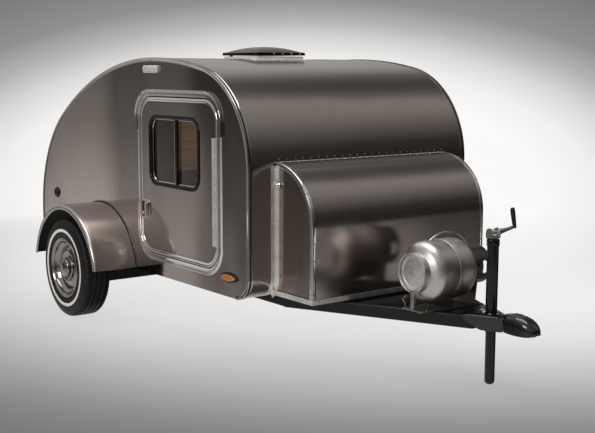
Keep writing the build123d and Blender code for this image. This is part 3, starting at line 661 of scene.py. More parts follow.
BIRCH_LIGHT, BIRCH_DARK = (0.62, 0.44, 0.26), (0.46, 0.3, 0.16)
birch_side = plywood("birch_side", BIRCH_LIGHT, BIRCH_DARK, (1, 8, 8))
birch_cross = plywood("birch_cross", BIRCH_LIGHT, BIRCH_DARK, (8, 1, 8))
ply_edge = plywood("ply_edge", (0.5, 0.34, 0.19), (0.22, 0.13, 0.06), (2, 2, 60))
window_glass = clear_pane("window_glass", (0.72, 0.66, 0.6))
clear_lens = lens("clear_lens", (0.9, 0.89, 0.86), (0.78, 0.76, 0.72), 130.0)
amber_lens = lens("amber_lens", (0.8, 0.3, 0.03), (0.62, 0.19, 0.015), 150.0)
red_lens = lens("red_lens", (0.52, 0.015, 0.012), (0.33, 0.008, 0.008), 150.0)
mattress_cloth = cloth("mattress_cloth", (0.5, 0.46, 0.41), (0.36, 0.33, 0.29))
print("woods, panes and cloth ready")

# %% [markdown]
# ## The body shell
#
# The roof, nose and front wall are one long sheet bent over the ribs. It could be a cut and bent
# plane, but the profile is known exactly, so the sheet is lofted from it: every profile point makes a
# row of outside points and a row of inside points one wall thickness in. The opening for the roof
# vent is left out of the middle columns. The outside is metal and the inside is birch plywood.

# %% Roof, nose and front wall
GAP = 0.006
vent_low, vent_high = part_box("vent_lid")
vent_x = (vent_low.x + vent_high.x) / 2
VENT_HALF = (vent_high.x - vent_low.x) / 2
HOLE_HALF = VENT_HALF - 0.01
rail_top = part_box("floor_panel")[0].z


def curved_shell(points, columns, skip=lambda x, y: False):
    """A bent sheet one wall thick over profile points, cut into columns at the y values."""
    verts, faces, kinds = [], [], []
    width = len(columns)
    for x, z, nx, nz in points:
        for depth in (0, WALL):
            for y in columns:
                verts.append((x - nx * depth, y, z - nz * depth))

    def at(i, layer, j):
        return (i * 2 + layer) * width + j

    open_cells = set()
    for i in range(len(points) - 1):
        for j in range(width - 1):
            if skip((points[i][0] + points[i + 1][0]) / 2, (columns[j] + columns[j + 1]) / 2):
                open_cells.add((i, j))
                continue
            for layer in (0, 1):
                faces.append((at(i, layer, j), at(i, layer, j + 1), at(i + 1, layer, j + 1),
                    at(i + 1, layer, j)))
                kinds.append(layer)
    cells = {(i, j) for i in range(len(points) - 1) for j in range(width - 1)} - open_cells
    for i, j in sorted(cells):
        for di, dj, a, b in ((-1, 0, (i, j), (i, j + 1)), (1, 0, (i + 1, j), (i + 1, j + 1)),
                             (0, -1, (i, j), (i + 1, j)), (0, 1, (i, j + 1), (i + 1, j + 1))):
            if (i + di, j + dj) not in cells:
                faces.append((at(a[0], 0, a[1]), at(b[0], 0, b[1]), at(b[0], 1, b[1]), at(a[0], 1, a[1])))
                kinds.append(2)
    return verts, faces, kinds


toe_start = -degrees(asin((toe_c[1] - rail_top) / TOE_RAD))
roof_points = outline(("toe", toe_start), ("back", HATCH_DEG), stops=(vent_x - HOLE_HALF, vent_x + HOLE_HALF))
roof = piece(
    "roof_skin",
    curved_shell(
        roof_points,
        (-inner_half, -HOLE_HALF, HOLE_HALF, inner_half),
        lambda x, y: abs(x - vent_x) < HOLE_HALF and abs(y) < HOLE_HALF,
    ),
    [roof_skin_metal, birch_cross, ply_edge])
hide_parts("roof_shell")
print("roof rows", len(roof_points))

# %% [markdown]
# The hatch carries on the same profile behind a radial cut. Its lower edge ends above the tail
# panel. It is made by the same helper, so the two skins line up.

# %% Hatch and its hinge leaf
hatch_low, hatch_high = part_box("hatch")
HATCH_HALF = hatch_high.y
gap_deg = degrees(GAP / BACK_RAD)
hatch_points = outline(("back", HATCH_DEG + gap_deg), ("tail", 180))
hatch_points.append((rear_x, hatch_low.z, -1.0, 0.0))
hatch = piece(
    "hatch_skin", curved_shell(hatch_points, (-HATCH_HALF, HATCH_HALF)),
    [roof_skin_metal, birch_cross, ply_edge], body="hatch")
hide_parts("hatch")


def bent_strip(points, half, thick, lift=0.0):
    """A thin strip that lies on profile points, its face thick above them."""
    rings = []
    for x, z, nx, nz in points:
        low, high = lift, lift + thick
        rings.append([
            (x + nx * low, -half, z + nz * low), (x + nx * high, -half, z + nz * high),
            (x + nx * high, half, z + nz * high), (x + nx * low, half, z + nz * low),
        ])
    return lofted(rings)


LEAF, LEAF_T = 0.042, 0.0018
PIN = 0.004
leaf_deg = degrees(LEAF / BACK_RAD)
pin_deg = degrees(PIN / BACK_RAD)
piece(
    "hatch_hinge_leaf",
    bent_strip(outline(("back", HATCH_DEG + pin_deg), ("back", HATCH_DEG + leaf_deg)), HATCH_HALF, LEAF_T),
    roof_skin_metal, bevel=0.0005, body="hatch")
print("hatch reaches", round(hatch_points[-1][1], 3))

# %% [markdown]
# A piano hinge is two leaves that share a row of knuckles. The knuckles take turns on the two
# leaves, so seen close up the pin is a row of short barrels with thin gaps. A turned section with a
# narrow groove at each joint gives that without hundreds of separate tubes.

# %% Long hinges
def barrel(length, radius, pitch=0.03, groove=0.0012):
    """The (along, radius) section of a row of knuckles."""
    count = round(length / pitch)
    section = [(-length / 2, 0.0)]
    for k in range(count):
        a = -length / 2 + k * length / count
        b = a + length / count
        section += [(a + groove / 2, radius - groove), (a + groove, radius), (b - groove, radius)]
        section += [(b - groove / 2, radius - groove)]
    return section + [(length / 2, 0.0)]


lid_low, lid_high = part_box("box_lid")
LEG = 0.026
TRIM = 0.0025
BOX_HALF = lid_high.y - TRIM
BOX_TOP = lid_high.z - TRIM
box_pin = (front_x + 0.0035, BOX_TOP)
hatch_pin = on_arc(back_c, BACK_RAD + PIN, HATCH_DEG)
nose_a = degrees(asin((BOX_TOP - nose_c[1]) / NOSE_RAD))
box_strip = outline(("nose", nose_a), ("nose", nose_a + degrees(LEG / NOSE_RAD)), chord=0.004)
roof_strip = outline(("back", HATCH_DEG - leaf_deg), ("back", HATCH_DEG - 0.02), chord=0.008)
leaves = joined(bent_strip(box_strip, BOX_HALF, LEAF_T), bent_strip(roof_strip, HATCH_HALF, LEAF_T))
hinge_strips = piece("hinge_leaves", leaves, roof_skin_metal)
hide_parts("hinge_strips")
pins = joined(
    turned(barrel(2 * BOX_HALF, PIN), (box_pin[0], 0, box_pin[1]), 12),
    turned(barrel(2 * HATCH_HALF, PIN), (hatch_pin[0], 0, hatch_pin[1]), 12),
)
piece("long_hinges", pins, bright_trim)

BOX_RIVETS = 23
HATCH_RIVETS = 27
RIVET_END = 0.025


def rivet_row(at, count, half, lift=LEAF_T):
    """Places in a row across the trailer, on a sheet's face at a profile point."""
    x, z, nx, nz = at
    return [((x + nx * lift, y, z + nz * lift), (nx, 0, nz))
        for y in spread(count, RIVET_END - half, half - RIVET_END)]


places = rivet_row(box_strip[len(box_strip) // 2], BOX_RIVETS, BOX_HALF)
places += rivet_row(roof_strip[len(roof_strip) // 3], HATCH_RIVETS, HATCH_HALF)
piece("hinge_rivets", rivets(places, 0.0048, 0.0026), chrome)
leaf_mid = outline(("back", HATCH_DEG + leaf_deg * 0.6), ("back", HATCH_DEG + leaf_deg), chord=0.05)[0]
piece("hatch_leaf_rivets", rivets(rivet_row(leaf_mid, HATCH_RIVETS, HATCH_HALF), 0.0048, 0.0026), chrome,
    body="hatch")
print("hinge rivets", BOX_RIVETS + 2 * HATCH_RIVETS)

# %% [markdown]
# Each side wall is a flat sandwich panel: aluminium outside, birch inside. A filled two-dimensional
# curve cuts the teardrop and its round-cornered door opening in one go, and turning it into a mesh
# keeps the round corners fine. The face that looks into the cabin gets the wood.

# %% Side walls
frame_low, frame_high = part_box("door_frames")
DOOR_CAP = 0.003
DOOR_X0, DOOR_X1 = frame_low.x + DOOR_CAP, frame_high.x - DOOR_CAP
DOOR_Z0, DOOR_Z1 = frame_low.z, frame_high.z - DOOR_CAP
DOOR_RAD = 0.165
FRAME_W = 0.036
OPEN = (DOOR_X0 + FRAME_W, DOOR_X1 - FRAME_W, DOOR_Z0 + FRAME_W, DOOR_Z1 - FRAME_W, DOOR_RAD - FRAME_W)


def loop_of(points):
    return [(p[0], p[1]) for p in points]


body_loop = loop_of(outline(("toe", -90), ("heel", 270)))
door_loop = loop_of(rounded_path(*OPEN))
for side, s in SIDES:
    panel = plate([body_loop, door_loop], s * body_half, s * inner_half)
    wall_piece = piece(f"side_wall_skin_{side}", by_side(panel, s, inner_half), [side_skin, birch_side])
    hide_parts(f"side_wall_{side}")
print("side wall points", len(body_loop), "door opening points", len(door_loop))

# %% [markdown]
# An insert moulding covers the joint of side and roof. On the real body it is an angle extrusion: one
# leg on the side, a rounded nose on the corner, one leg on the roof, and a black vinyl strip that is
# pressed into the roof leg over its screws. The section is drawn once and carried round the outline.

# %% Edge mouldings with their vinyl inserts
SIDE_LEG = 0.02
trim_path_points = outline(("toe", -90), ("heel", 270), chord=0.014)
LEG_SECTION = [
    # out from the outline, across from the side wall's face
    (0.0024, -WALL + 0.001), (0.0024, -0.016), (0.0016, -0.015), (0.0016, -0.0055), (0.0024, -0.0045),
    (0.0025, 0.0006), (0.0019, 0.0019), (0.0006, 0.0025), (-0.0016, 0.0025), (-0.0024, 0.0019),
    (-SIDE_LEG + 0.0022, 0.0012), (-SIDE_LEG, 0.0008), (-SIDE_LEG, 0.0), (0.0, 0.0), (0.0, -WALL + 0.001),
]
VINYL_SECTION = mm([(1.6, -15.2), (2.2, -13.8), (2.4, -10.2), (2.2, -6.6), (1.6, -5.3), (0.8, -10.2)])
for side, s in SIDES:
    path = side_path(trim_path_points, s, body_half)
    moulding = piece(f"edge_moulding_{side}", carried(LEG_SECTION, path), edge_metal, 40)
    piece(f"edge_vinyl_{side}", carried(VINYL_SECTION, path), rubber_seal, 60)
    if s < 0:
        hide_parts("edge_trims")
print("moulding length", round(length_of(trim_path_points), 2))

# %% [markdown]
# ## Doors
#
# Each door is a sandwich panel in a flat clamp frame. From outside inwards there are the frame on
# the wall, a dark seal in the gap, a thin metal bead round the door's edge, and the brushed skin.
# All of them follow the same rounded rectangle, so each is a small section carried round one path
# at its own distance from the frame's edge.

# %% Door frames, seals and drip caps
PIVOT_Y = 0.779
HINGE_Z, HINGE_LEN = 0.8735, 0.577
SCREW_IN, SCREW_LIFT = 0.018, 0.0034


def door_ring(inset, steps=14, start=0, stop=4):
    """The rounded rectangle of the door frame, moved inwards."""
    sides = (DOOR_X0 + inset, DOOR_X1 - inset, DOOR_Z0 + inset, DOOR_Z1 - inset)
    return rounded_path(*sides, DOOR_RAD - inset, steps, start, stop)


def door_path(s, y, inset=0.0):
    """That rectangle as a path on side s."""
    return side_path(door_ring(inset), s, y)


FRAME_SECTION = [
    (0.0, 0.0), (0.0, 0.0026), (-0.0012, 0.0038), (-0.0032, 0.004), (-0.006, 0.0034), (-0.03, 0.0034),
    (-0.0325, 0.004), (-0.0348, 0.0038), (-0.036, 0.0026), (-0.036, -WALL), (-0.0352, -WALL), (-0.0352, 0.0),
]
SEAL_SECTION = mm([(-36.1, -6), (-36.1, -18), (-39.5, -17.5), (-40.8, -12), (-39.5, -6.5)])
CAP_SECTION = mm([
    (-14.5, 3.5), (-14.5, 6.2), (-4, 7.2), (-0.5, 10), (0.8, 15.2), (2, 16), (3, 15.2), (2.6, 6), (3, 1),
    (0, 0.4), (0, 4),
])
CAP_Z = 1.172


def cap_path(s):
    """The drip cap's path: up one side, over the round top corners, and down to the same height."""
    points = [(DOOR_X1, CAP_Z, 1.0, 0.0)] + door_ring(0.0, 14, 0, 2) + [(DOOR_X0, CAP_Z, -1.0, 0.0)]
    return side_path(points, s, body_half)


for side, s in SIDES:
    path = door_path(s, body_half)
    frame_ring = piece(f"door_frame_{side}", carried(FRAME_SECTION, path, True), bright_trim, 40)
    piece(f"door_seal_{side}", carried(SEAL_SECTION, path, True), rubber_seal, 60)
    piece(f"drip_cap_{side}", carried(CAP_SECTION, cap_path(s)), edge_metal, 40)
    knuckles = turned(barrel(HINGE_LEN, 0.005, 0.048), (front_x - 0.239 - 0.035, s * PIVOT_Y, HINGE_Z), 14, "z")
    piece(f"door_knuckles_{side}", knuckles, bright_trim, 30)
    spots = loop_of(door_ring(SCREW_IN, 3))
    for z in spread(6, DOOR_Z0 + DOOR_RAD + 0.08, CAP_Z - 0.06):
        spots += [(DOOR_X0 + SCREW_IN, z), (DOOR_X1 - SCREW_IN, z)]
    for x in spread(6, DOOR_X0 + DOOR_RAD + 0.07, DOOR_X1 - DOOR_RAD - 0.07):
        spots.append((x, DOOR_Z0 + SCREW_IN))
    screws = [((x, s * (body_half + SCREW_LIFT), z), (0, s, 0)) for x, z in spots]
    piece(f"door_frame_screws_{side}", rivets(screws, 0.0034, 0.0012), chrome)
    if s < 0:
        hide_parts("door_frames")
print("frame screws", len(screws))

# %% [markdown]
# The door's skin has a round-cornered window hole. A turned edge moulding clamps the skin to the
# core all round and catches the light as a bright line. The hinge leaf is a wide strip with its
# screws in a row and a pressed groove beside them.

# %% Door panels with their hinge leaves
DOOR_IN = FRAME_W + GAP
DOOR_FACE = body_half + 0.003
DOOR_BACK = DOOR_FACE - 0.028
pane_low, pane_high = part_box("window_frame_right")
PANE = (pane_low.x, pane_high.x, pane_low.z, pane_high.z)
PANE_RAD = 0.082
LEAF_X0 = DOOR_X1 - FRAME_W - 0.06
KNUCKLE_X = DOOR_X1 - FRAME_W + 0.001 - 0.005 - 0.0003
LEAF_Z0, LEAF_Z1 = DOOR_Z0 + DOOR_RAD, CAP_Z - 0.01
EDGE_SECTION = mm([
    (0, -27), (0, 0.2), (-1.2, 1.4), (-3.5, 1.8), (-6, 1.2), (-8.5, 0.5), (-18, 0.5), (-19.2, 1.2),
    (-20.6, 1.2), (-22, 0), (-22, -1), (-1, -1), (-1, -27),
])


def slab_on(s, x0, x1, near, far, z0, z1):
    """A block on side s between two depths from the door's face."""
    return block(x0, x1, *sorted((s * (DOOR_FACE + near), s * (DOOR_FACE + far))), z0, z1)


def pane_ring(inset, radius, steps):
    """The rounded rectangle of the window, moved inwards."""
    return rounded_path(PANE[0] + inset, PANE[1] - inset, PANE[2] + inset, PANE[3] - inset, radius, steps)


for side, s in SIDES:
    skin_in = DOOR_IN + 0.001
    skin_loop = rounded_path(
        DOOR_X0 + skin_in, DOOR_X1 - skin_in, DOOR_Z0 + skin_in, DOOR_Z1 - skin_in, DOOR_RAD - DOOR_IN, 14)
    hole = pane_ring(0.006, PANE_RAD - 0.006, 10)
    panel = plate([loop_of(skin_loop), loop_of(hole)], s * DOOR_FACE, s * DOOR_BACK)
    door = piece(
        f"door_panel_{side}", by_side(panel, s, DOOR_BACK), [door_skin, birch_side], body=f"door_{side}")
    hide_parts(f"door_{side}")
    rim = door_path(s, DOOR_FACE, DOOR_IN)
    piece(f"door_edge_{side}", carried(EDGE_SECTION, rim, True), bright_trim, 40, body=f"door_{side}")
    leaf = plate([[(LEAF_X0, LEAF_Z0), (KNUCKLE_X, LEAF_Z0), (KNUCKLE_X, LEAF_Z1), (LEAF_X0, LEAF_Z1)]],
                 s * (DOOR_FACE + 0.0012), s * (DOOR_FACE + 0.003))
    wrap_y = sorted((s * (DOOR_FACE + 0.001), s * (PIVOT_Y + 0.0045)))
    wrap = block(KNUCKLE_X - 0.008, KNUCKLE_X - 0.0004, *wrap_y, LEAF_Z0, LEAF_Z1)
    ridge = slab_on(s, LEAF_X0 + 0.006, LEAF_X0 + 0.0095, 0.002, 0.0042, LEAF_Z0 + 0.006, LEAF_Z1 - 0.006)
    piece(f"door_hinge_leaf_{side}", joined(leaf, wrap, ridge), satin_trim, 30, 0.0008, body=f"door_{side}")
    rows = spread(13, LEAF_Z0 + 0.022, LEAF_Z1 - 0.022)
    screws = [((LEAF_X0 + 0.032, s * (DOOR_FACE + 0.003), z), (0, s, 0)) for z in rows]
    piece(f"door_hinge_screws_{side}", rivets(screws, 0.0046, 0.002, 10), chrome, body=f"door_{side}")
print("door screws", len(screws))

# %% [markdown]
# The window is a black clamp frame, a thin bright sash line inside it, an upright between the fixed
# and the sliding pane, and an insect screen behind the rear half. The screen is a grid of threads,
# too fine to model one by one, so its material is see-through between two crossed waves.

# %% Windows
def screen_cloth(name, threads=900.0):
    material, tree, shader = new_material(name)
    threads_on = combined(tree, *waves_along(tree, "XZ", scale=threads), "MAXIMUM")
    feed(tree, shader, {
        "Base Color": (0.008, 0.007, 0.007, 1), "Roughness": 0.6, "Specular IOR Level": 0.1,
        "Alpha": ranged(tree, threads_on, 0.35, 1.0, 0.4, 0.8),
    })
    return material


insect_screen = screen_cloth("insect_screen")
PANE_BEAD = 0.024
PANE_SECTION = mm([
    (0, 0), (-0.4, 3.2), (-2.4, 5.2), (-6, 6), (-15, 5.6), (-20, 4), (-23, 0.6), (-24, -4), (-24, -28),
    (-6.6, -28), (-6.6, 0),
])
SASH_SECTION = mm([(-24, -8.5), (-24, -12.5), (-29, -12.5), (-30, -10.5), (-29, -8.5)])
BAR_X = (PANE[0] + PANE[1] + 0.04) / 2
for side, s in SIDES:
    ring = side_path(rounded_path(*PANE, PANE_RAD, 12), s, DOOR_FACE)
    window = piece(f"window_clamp_{side}", carried(PANE_SECTION, ring, True), black_frame, 40,
        body=f"door_{side}")
    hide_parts(f"window_frame_{side}")
    piece(f"window_sash_{side}", carried(SASH_SECTION, ring, True), bright_trim, 40, body=f"door_{side}")
    low, high = PANE[2] + PANE_BEAD + 0.0002, PANE[3] - PANE_BEAD - 0.0002
    bar = slab_on(s, BAR_X - 0.01, BAR_X + 0.013, -0.001, -0.014, low, high)
    piece(f"window_bar_{side}", bar, black_frame, 30, 0.002, body=f"door_{side}")
    bright = slab_on(s, BAR_X - 0.0155, BAR_X - 0.0102, -0.003, -0.015, low, high)
    piece(f"window_bar_edge_{side}", bright, bright_trim, 30, 0.001, body=f"door_{side}")
    half = rounded_path(PANE[0] + PANE_BEAD, BAR_X - 0.012, PANE[2] + PANE_BEAD, PANE[3] - PANE_BEAD, 0.03, 8)
    screen = plate([loop_of(half)], s * (DOOR_FACE - 0.0215), s * (DOOR_FACE - 0.0219))
    piece(f"window_screen_{side}", screen, insect_screen, body=f"door_{side}")
print("panes", [round(v, 3) for v in PANE])

# %% [markdown]
# The latch is a chrome bezel round a sunk black pan, with a paddle to pull and a lock barrel. The
# bezel is a flat ring with a rounded section, so it is carried round a small rounded rectangle too.

# %% Door latches
LATCH_X, LATCH_Z = DOOR_X0 + FRAME_W + GAP + 0.054, 0.712
BEZEL_SECTION = mm([(0, 0), (0, 2.4), (-1.4, 3.8), (-4.5, 4), (-7.5, 3), (-8.5, 0)])
LOCK_SECTION = mm([(0, 0), (0, 8.5), (4.2, 8.5), (5.2, 7.4), (5.2, 5.2), (4.4, 4.8), (4.4, 0)])


def latch_ring(x0, x1, half, radius, steps=4):
    """A rounded rectangle about the latch's middle height."""
    return rounded_path(LATCH_X + x0, LATCH_X + x1, LATCH_Z - half, LATCH_Z + half, radius, steps)


for side, s in SIDES:
    path = side_path(latch_ring(-0.048, 0.048, 0.054, 0.012, 5), s, DOOR_FACE)
    bezel = piece(f"latch_bezel_{side}", carried(BEZEL_SECTION, path, True), chrome, 40, body=f"door_{side}")
    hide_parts(f"door_latch_{side}")
    pan = plate([loop_of(latch_ring(-0.042, 0.042, 0.048, 0.008))], s * (DOOR_FACE + 0.0002),
        s * (DOOR_FACE + 0.0016))
    piece(f"latch_pan_{side}", pan, black_plastic, 40, 0.0004, body=f"door_{side}")
    pull = plate([loop_of(latch_ring(-0.002, 0.037, 0.044, 0.006))], s * (DOOR_FACE + 0.004),
        s * (DOOR_FACE + 0.0088))
    lip = slab_on(s, LATCH_X + 0.024, LATCH_X + 0.035, 0.008, 0.0172, LATCH_Z - 0.036, LATCH_Z + 0.036)
    piece(f"latch_paddle_{side}", joined(pull, lip), chrome, 40, 0.0016, 3, body=f"door_{side}")
    lock_at = (LATCH_X - 0.024, s * (DOOR_FACE + 0.001), LATCH_Z - 0.026)
    lock = joined(turned([(s * a, r) for a, r in LOCK_SECTION], lock_at, 24))
    piece(f"latch_lock_{side}", lock, chrome, 40, body=f"door_{side}")
print("latch at", round(LATCH_X, 3), LATCH_Z)

# %% [markdown]
# ## Front storage box
#
# The lid is one sheet rolled to a quarter circle that runs on into a straight front. Angle trim is
# riveted along both edges. A long sheet with a mirror finish is never quite flat, but here the roll
# is tight, so it is lofted clean and the finish alone brings the streaks.

# %% Box lid
lid_r = lid_high.x - TRIM - front_x
ARC_Z = BOX_TOP - lid_r
SOLID_LOW = lid_low.z
BOX_Z0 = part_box("box_shell")[0].z
LID_LOW = BOX_Z0 + LEG + 0.002
lid_start = degrees(acos((lid_low.x - front_x) / lid_r))
lid_points = []
for a in spread(44, lid_start, 0):
    lid_points.append((front_x + lid_r * cosd(a), ARC_Z + lid_r * sind(a), cosd(a), sind(a)))
for z in spread(8, ARC_Z, LID_LOW)[1:]:
    lid_points.append((front_x + lid_r, z, 1.0, 0.0))


def sheet_strip(points, y0, y1, thick):
    """A sheet with its outer face on the points."""
    rings = []
    for x, z, nx, nz in points:
        rings.append([(x, y0, z), (x, y1, z), (x - nx * thick, y1, z - nz * thick),
            (x - nx * thick, y0, z - nz * thick)])
    return lofted(rings)


SHEET = 0.002
lid = piece("box_lid_sheet", sheet_strip(lid_points, -BOX_HALF, BOX_HALF, SHEET), box_skin, 30, body="box_lid")
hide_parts("box_lid")
RIM = 0.02
RIM_SECTION = [
    # out from the sheet, away from the middle
    (0.0, -RIM), (0.002, -RIM), (0.0025, -RIM + 0.001), (0.0025, 0.0008), (0.0019, 0.0019), (0.0008, 0.0025),
    (-RIM + 0.001, 0.0025), (-RIM, 0.002), (-RIM, 0.0), (0.0, 0.0),
]
lid_len = radians(lid_start) * lid_r + ARC_Z - LID_LOW
for side, s in SIDES:
    rim = carried(RIM_SECTION, side_path(lid_points, s, BOX_HALF))
    piece(f"box_lid_rim_{side}", rim, bright_trim, 40, body="box_lid")


def along(points, distance):
    """The point and normal at a distance along an outline."""
    for a, b in zip(points, points[1:]):
        run = hypot(b[0] - a[0], b[1] - a[1])
        if distance <= run:
            t = distance / run
            return [a[k] + (b[k] - a[k]) * t for k in range(4)]
        distance -= run
    return list(points[-1])


heads = []
for s in (-1, 1):
    for d in spread(10, 0.04, lid_len - 0.025):
        x, z, nx, nz = along(lid_points, d)
        heads.append(((x + nx * 0.0025, s * (BOX_HALF - 0.01), z + nz * 0.0025), (nx, 0, nz)))
        heads.append(((x - nx * 0.01, s * (BOX_HALF + 0.0025), z - nz * 0.01), (0, s, 0)))
piece("box_lid_rivets", rivets(heads, 0.004, 0.002), dark_bottle, body="box_lid")
LID_LEAF_T = 0.0016
top_leaf = bent_strip([p for p in lid_points if p[0] < front_x + 0.04][:6], BOX_HALF, LID_LEAF_T)
piece("box_lid_leaf", top_leaf, box_skin, 30, body="box_lid")
lid_leaf_heads = rivet_row(along(lid_points, 0.016), BOX_RIVETS, BOX_HALF, LID_LEAF_T)
piece("box_lid_leaf_rivets", rivets(lid_leaf_heads, 0.0042, 0.002), chrome, body="box_lid")
print("lid arc", round(lid_len, 3), "rivets", len(heads))

# %% [markdown]
# The box body stays on the trailer: two side sheets, a bottom, a low front sill, and angle trim.
# The side sheets follow the cabin's rounded toe. The corner angle is one length of angle
# that is bent to the same curve, with a rivet in each leg every hand's breadth.

# %% Box sides, sill and trims
SILL_Z = SOLID_LOW - GAP
SKIN_HALF = BOX_HALF - TRIM - GAP
STEP = 0.004 + GAP
TOE_LOW = degrees(asin((toe_c[1] - BOX_Z0) / TOE_RAD))
box_x1 = front_x + lid_r


def toe_points(first, last, steps):
    return [(*on_arc(toe_c, TOE_RAD, a), cosd(a), sind(a)) for a in spread(steps, first, last)]


side_loop = [(p[0], p[1]) for p in toe_points(0, -TOE_LOW, 14)]
side_loop += [(box_x1 - STEP, BOX_Z0)]
inner_r = lid_r - STEP
side_loop += [(front_x + inner_r * cosd(a), ARC_Z + inner_r * sind(a)) for a in spread(30, 0, 89.4)]
side_loop += [(front_x + 0.001, ARC_Z + inner_r), (front_x + 0.001, toe_c[1])]
for side, s in SIDES:
    panel = plate([side_loop], s * SKIN_HALF, s * (SKIN_HALF - SHEET))
    skin = piece(f"box_side_{side}", panel, box_side_skin, 30)
    if s < 0:
        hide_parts("box_shell")

wall_points = toe_points(-TOE_LOW + 1, 0, 12) + outline(("nose", 0.01), ("nose", 3.0), chord=0.01)
CORNER_SECTION = [
    (0.0003, -0.0015), (LEG, -0.0015), (LEG, 0.0012), (0.0036, 0.0012), (0.0028, 0.002), (0.0028, 0.033),
    (0.0022, 0.0345), (0.0003, 0.0345),
]
heads = []
wall_len = length_of(wall_points)
for side, s in SIDES:
    piece(
        f"box_corner_angle_{side}", carried(CORNER_SECTION, side_path(wall_points, s, SKIN_HALF + 0.0015)),
        satin_trim, 30)
    for d in spread(8, 0.022, wall_len - 0.022):
        x, z, nx, nz = along(wall_points, d)
        heads.append(((x + nx * 0.0145, s * (SKIN_HALF + 0.0027), z + nz * 0.0145), (0, s, 0)))
        heads.append(((x + nx * 0.0028, s * (SKIN_HALF + 0.0225), z + nz * 0.0028), (nx, 0, nz)))

toe_x = toe_c[0] + sqrt(TOE_RAD ** 2 - (toe_c[1] - BOX_Z0 - LEG) ** 2)
for side, s in SIDES:
    flat_y = sorted((s * (SKIN_HALF + 0.0002), s * (BOX_HALF + TRIM)))
    leg_y = sorted((s * (BOX_HALF - 0.0025), s * BOX_HALF))
    strip = block(toe_x, box_x1, *flat_y, BOX_Z0, BOX_Z0 + 0.0025)
    leg = block(toe_x - 0.01, box_x1 - 0.0005, *leg_y, BOX_Z0, BOX_Z0 + LEG)
    piece(f"box_low_trim_{side}", joined(strip, leg), satin_trim, 30, 0.0012)
    for x in spread(4, toe_x + 0.02, box_x1 - 0.04):
        heads.append(((x, s * BOX_HALF, BOX_Z0 + 0.015), (0, s, 0)))
bottom_x = toe_c[0] + sqrt(TOE_RAD ** 2 - (toe_c[1] - BOX_Z0 - 0.004) ** 2)
bottom = block(bottom_x, box_x1 - 0.002, -SKIN_HALF, SKIN_HALF, BOX_Z0, BOX_Z0 + 0.003)
piece("box_bottom", bottom, box_side_skin, 30, 0.0008)
sill = block(box_x1 - 0.012, box_x1 - 0.009, -SKIN_HALF, SKIN_HALF, BOX_Z0 + 0.003, SILL_Z)
lip = block(box_x1 - 0.03, box_x1 - 0.009, -SKIN_HALF, SKIN_HALF, SILL_Z - 0.003, SILL_Z)
piece("box_sill", joined(sill, lip), box_skin, 30, 0.0008)
flange = block(box_x1 - 0.01, box_x1 + TRIM, -BOX_HALF - TRIM, BOX_HALF + TRIM, BOX_Z0, BOX_Z0 + LEG)
piece("box_front_flange", flange, satin_trim, 30, 0.001)
for y in spread(13, 0.04 - BOX_HALF, BOX_HALF - 0.04):
    heads.append(((box_x1 + TRIM, y, BOX_Z0 + 0.015), (1, 0, 0)))
piece("box_rivets", rivets(heads, 0.0046, 0.0022), chrome)
print("box rivets", len(heads))
KNOB_SECTION = mm([
    # in towards the box, radius
    (0, 0), (0, 20), (-2, 20.5), (-3.5, 19), (-6, 15), (-11, 14), (-15, 11.5), (-17.2, 7), (-18, 0),
])
knob = turned(KNOB_SECTION, (front_x + 0.018, -SKIN_HALF - 0.004, BOX_TOP - 0.115), 36)
piece("box_knob", knob, chrome, 40)

# %% [markdown]
# ## Roof vent, lamps and outlet
#
# The vent is a square plastic tray on the roof with a smoked lid. The lid has an upright rim and
# a low dome, so it is lofted through rounded squares that shrink as they rise. The white base shows
# under the lid where the roof falls away.

# %% Vent base and domed lid
BASE_HALF = VENT_HALF - 0.01
BRIM_Z = vent_low.z
DOME_TOP = vent_high.z
base_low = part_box("vent_base")[0]
ledge = body_top + 0.014


def square_ring(half, z, radius, steps=6):
    """A round-cornered square at one height, round the vent's middle."""
    points = []
    for cx, cy, a0 in ((half - radius, half - radius, 0), (radius - half, half - radius, 90),
                       (radius - half, radius - half, 180), (half - radius, radius - half, 270)):
        for k in range(steps + 1):
            a = radians(a0 + 90 * k / steps)
            points.append((vent_x + cx + radius * cos(a), cy + radius * sin(a), z))
    return points


tray = [
    square_ring(BASE_HALF, base_low.z, 0.012), square_ring(BASE_HALF, ledge - 0.003, 0.012),
    square_ring(BASE_HALF - 0.001, ledge, 0.012), square_ring(HOLE_HALF - 0.008, ledge, 0.01),
    square_ring(HOLE_HALF - 0.009, ledge - 0.002, 0.01), square_ring(HOLE_HALF - 0.009, base_low.z, 0.01),
]
points, faces = lofted(tray + [tray[0]], True, False)
vent_pin = (vent_low.x - 0.0043, BRIM_Z + 0.009)
PIN_X = vent_pin[0] - 0.004
ears = []
for x1, low, top in ((vent_pin[0] + 0.018, 0.012, ledge), (vent_pin[0] + 0.003, 0.006, vent_pin[1])):
    ears += [block(PIN_X, x1, y - 0.012, y + 0.012, ledge - low, top) for y in (-0.11, 0.11)]
pin = turned(barrel(2 * VENT_HALF - 0.08, PIN, 0.048), (vent_pin[0], 0, vent_pin[1]), 12)
base = piece("vent_tray", joined((points, faces), *ears, pin), white_plastic, 30, 0.0012)
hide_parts("vent_base")
flange_x = (vent_x - BASE_HALF - 0.03, vent_x + BASE_HALF + 0.03)
flange_points = outline(("nose", 60), ("back", 100), stops=flange_x)
flange_points = [p for p in flange_points if abs(p[0] - vent_x) < BASE_HALF + 0.0301]
piece("vent_flange", bent_strip(flange_points, BASE_HALF + 0.03, 0.0022), white_plastic, 30, 0.0008)
heads = []
SCREW_OUT = BASE_HALF + 0.018
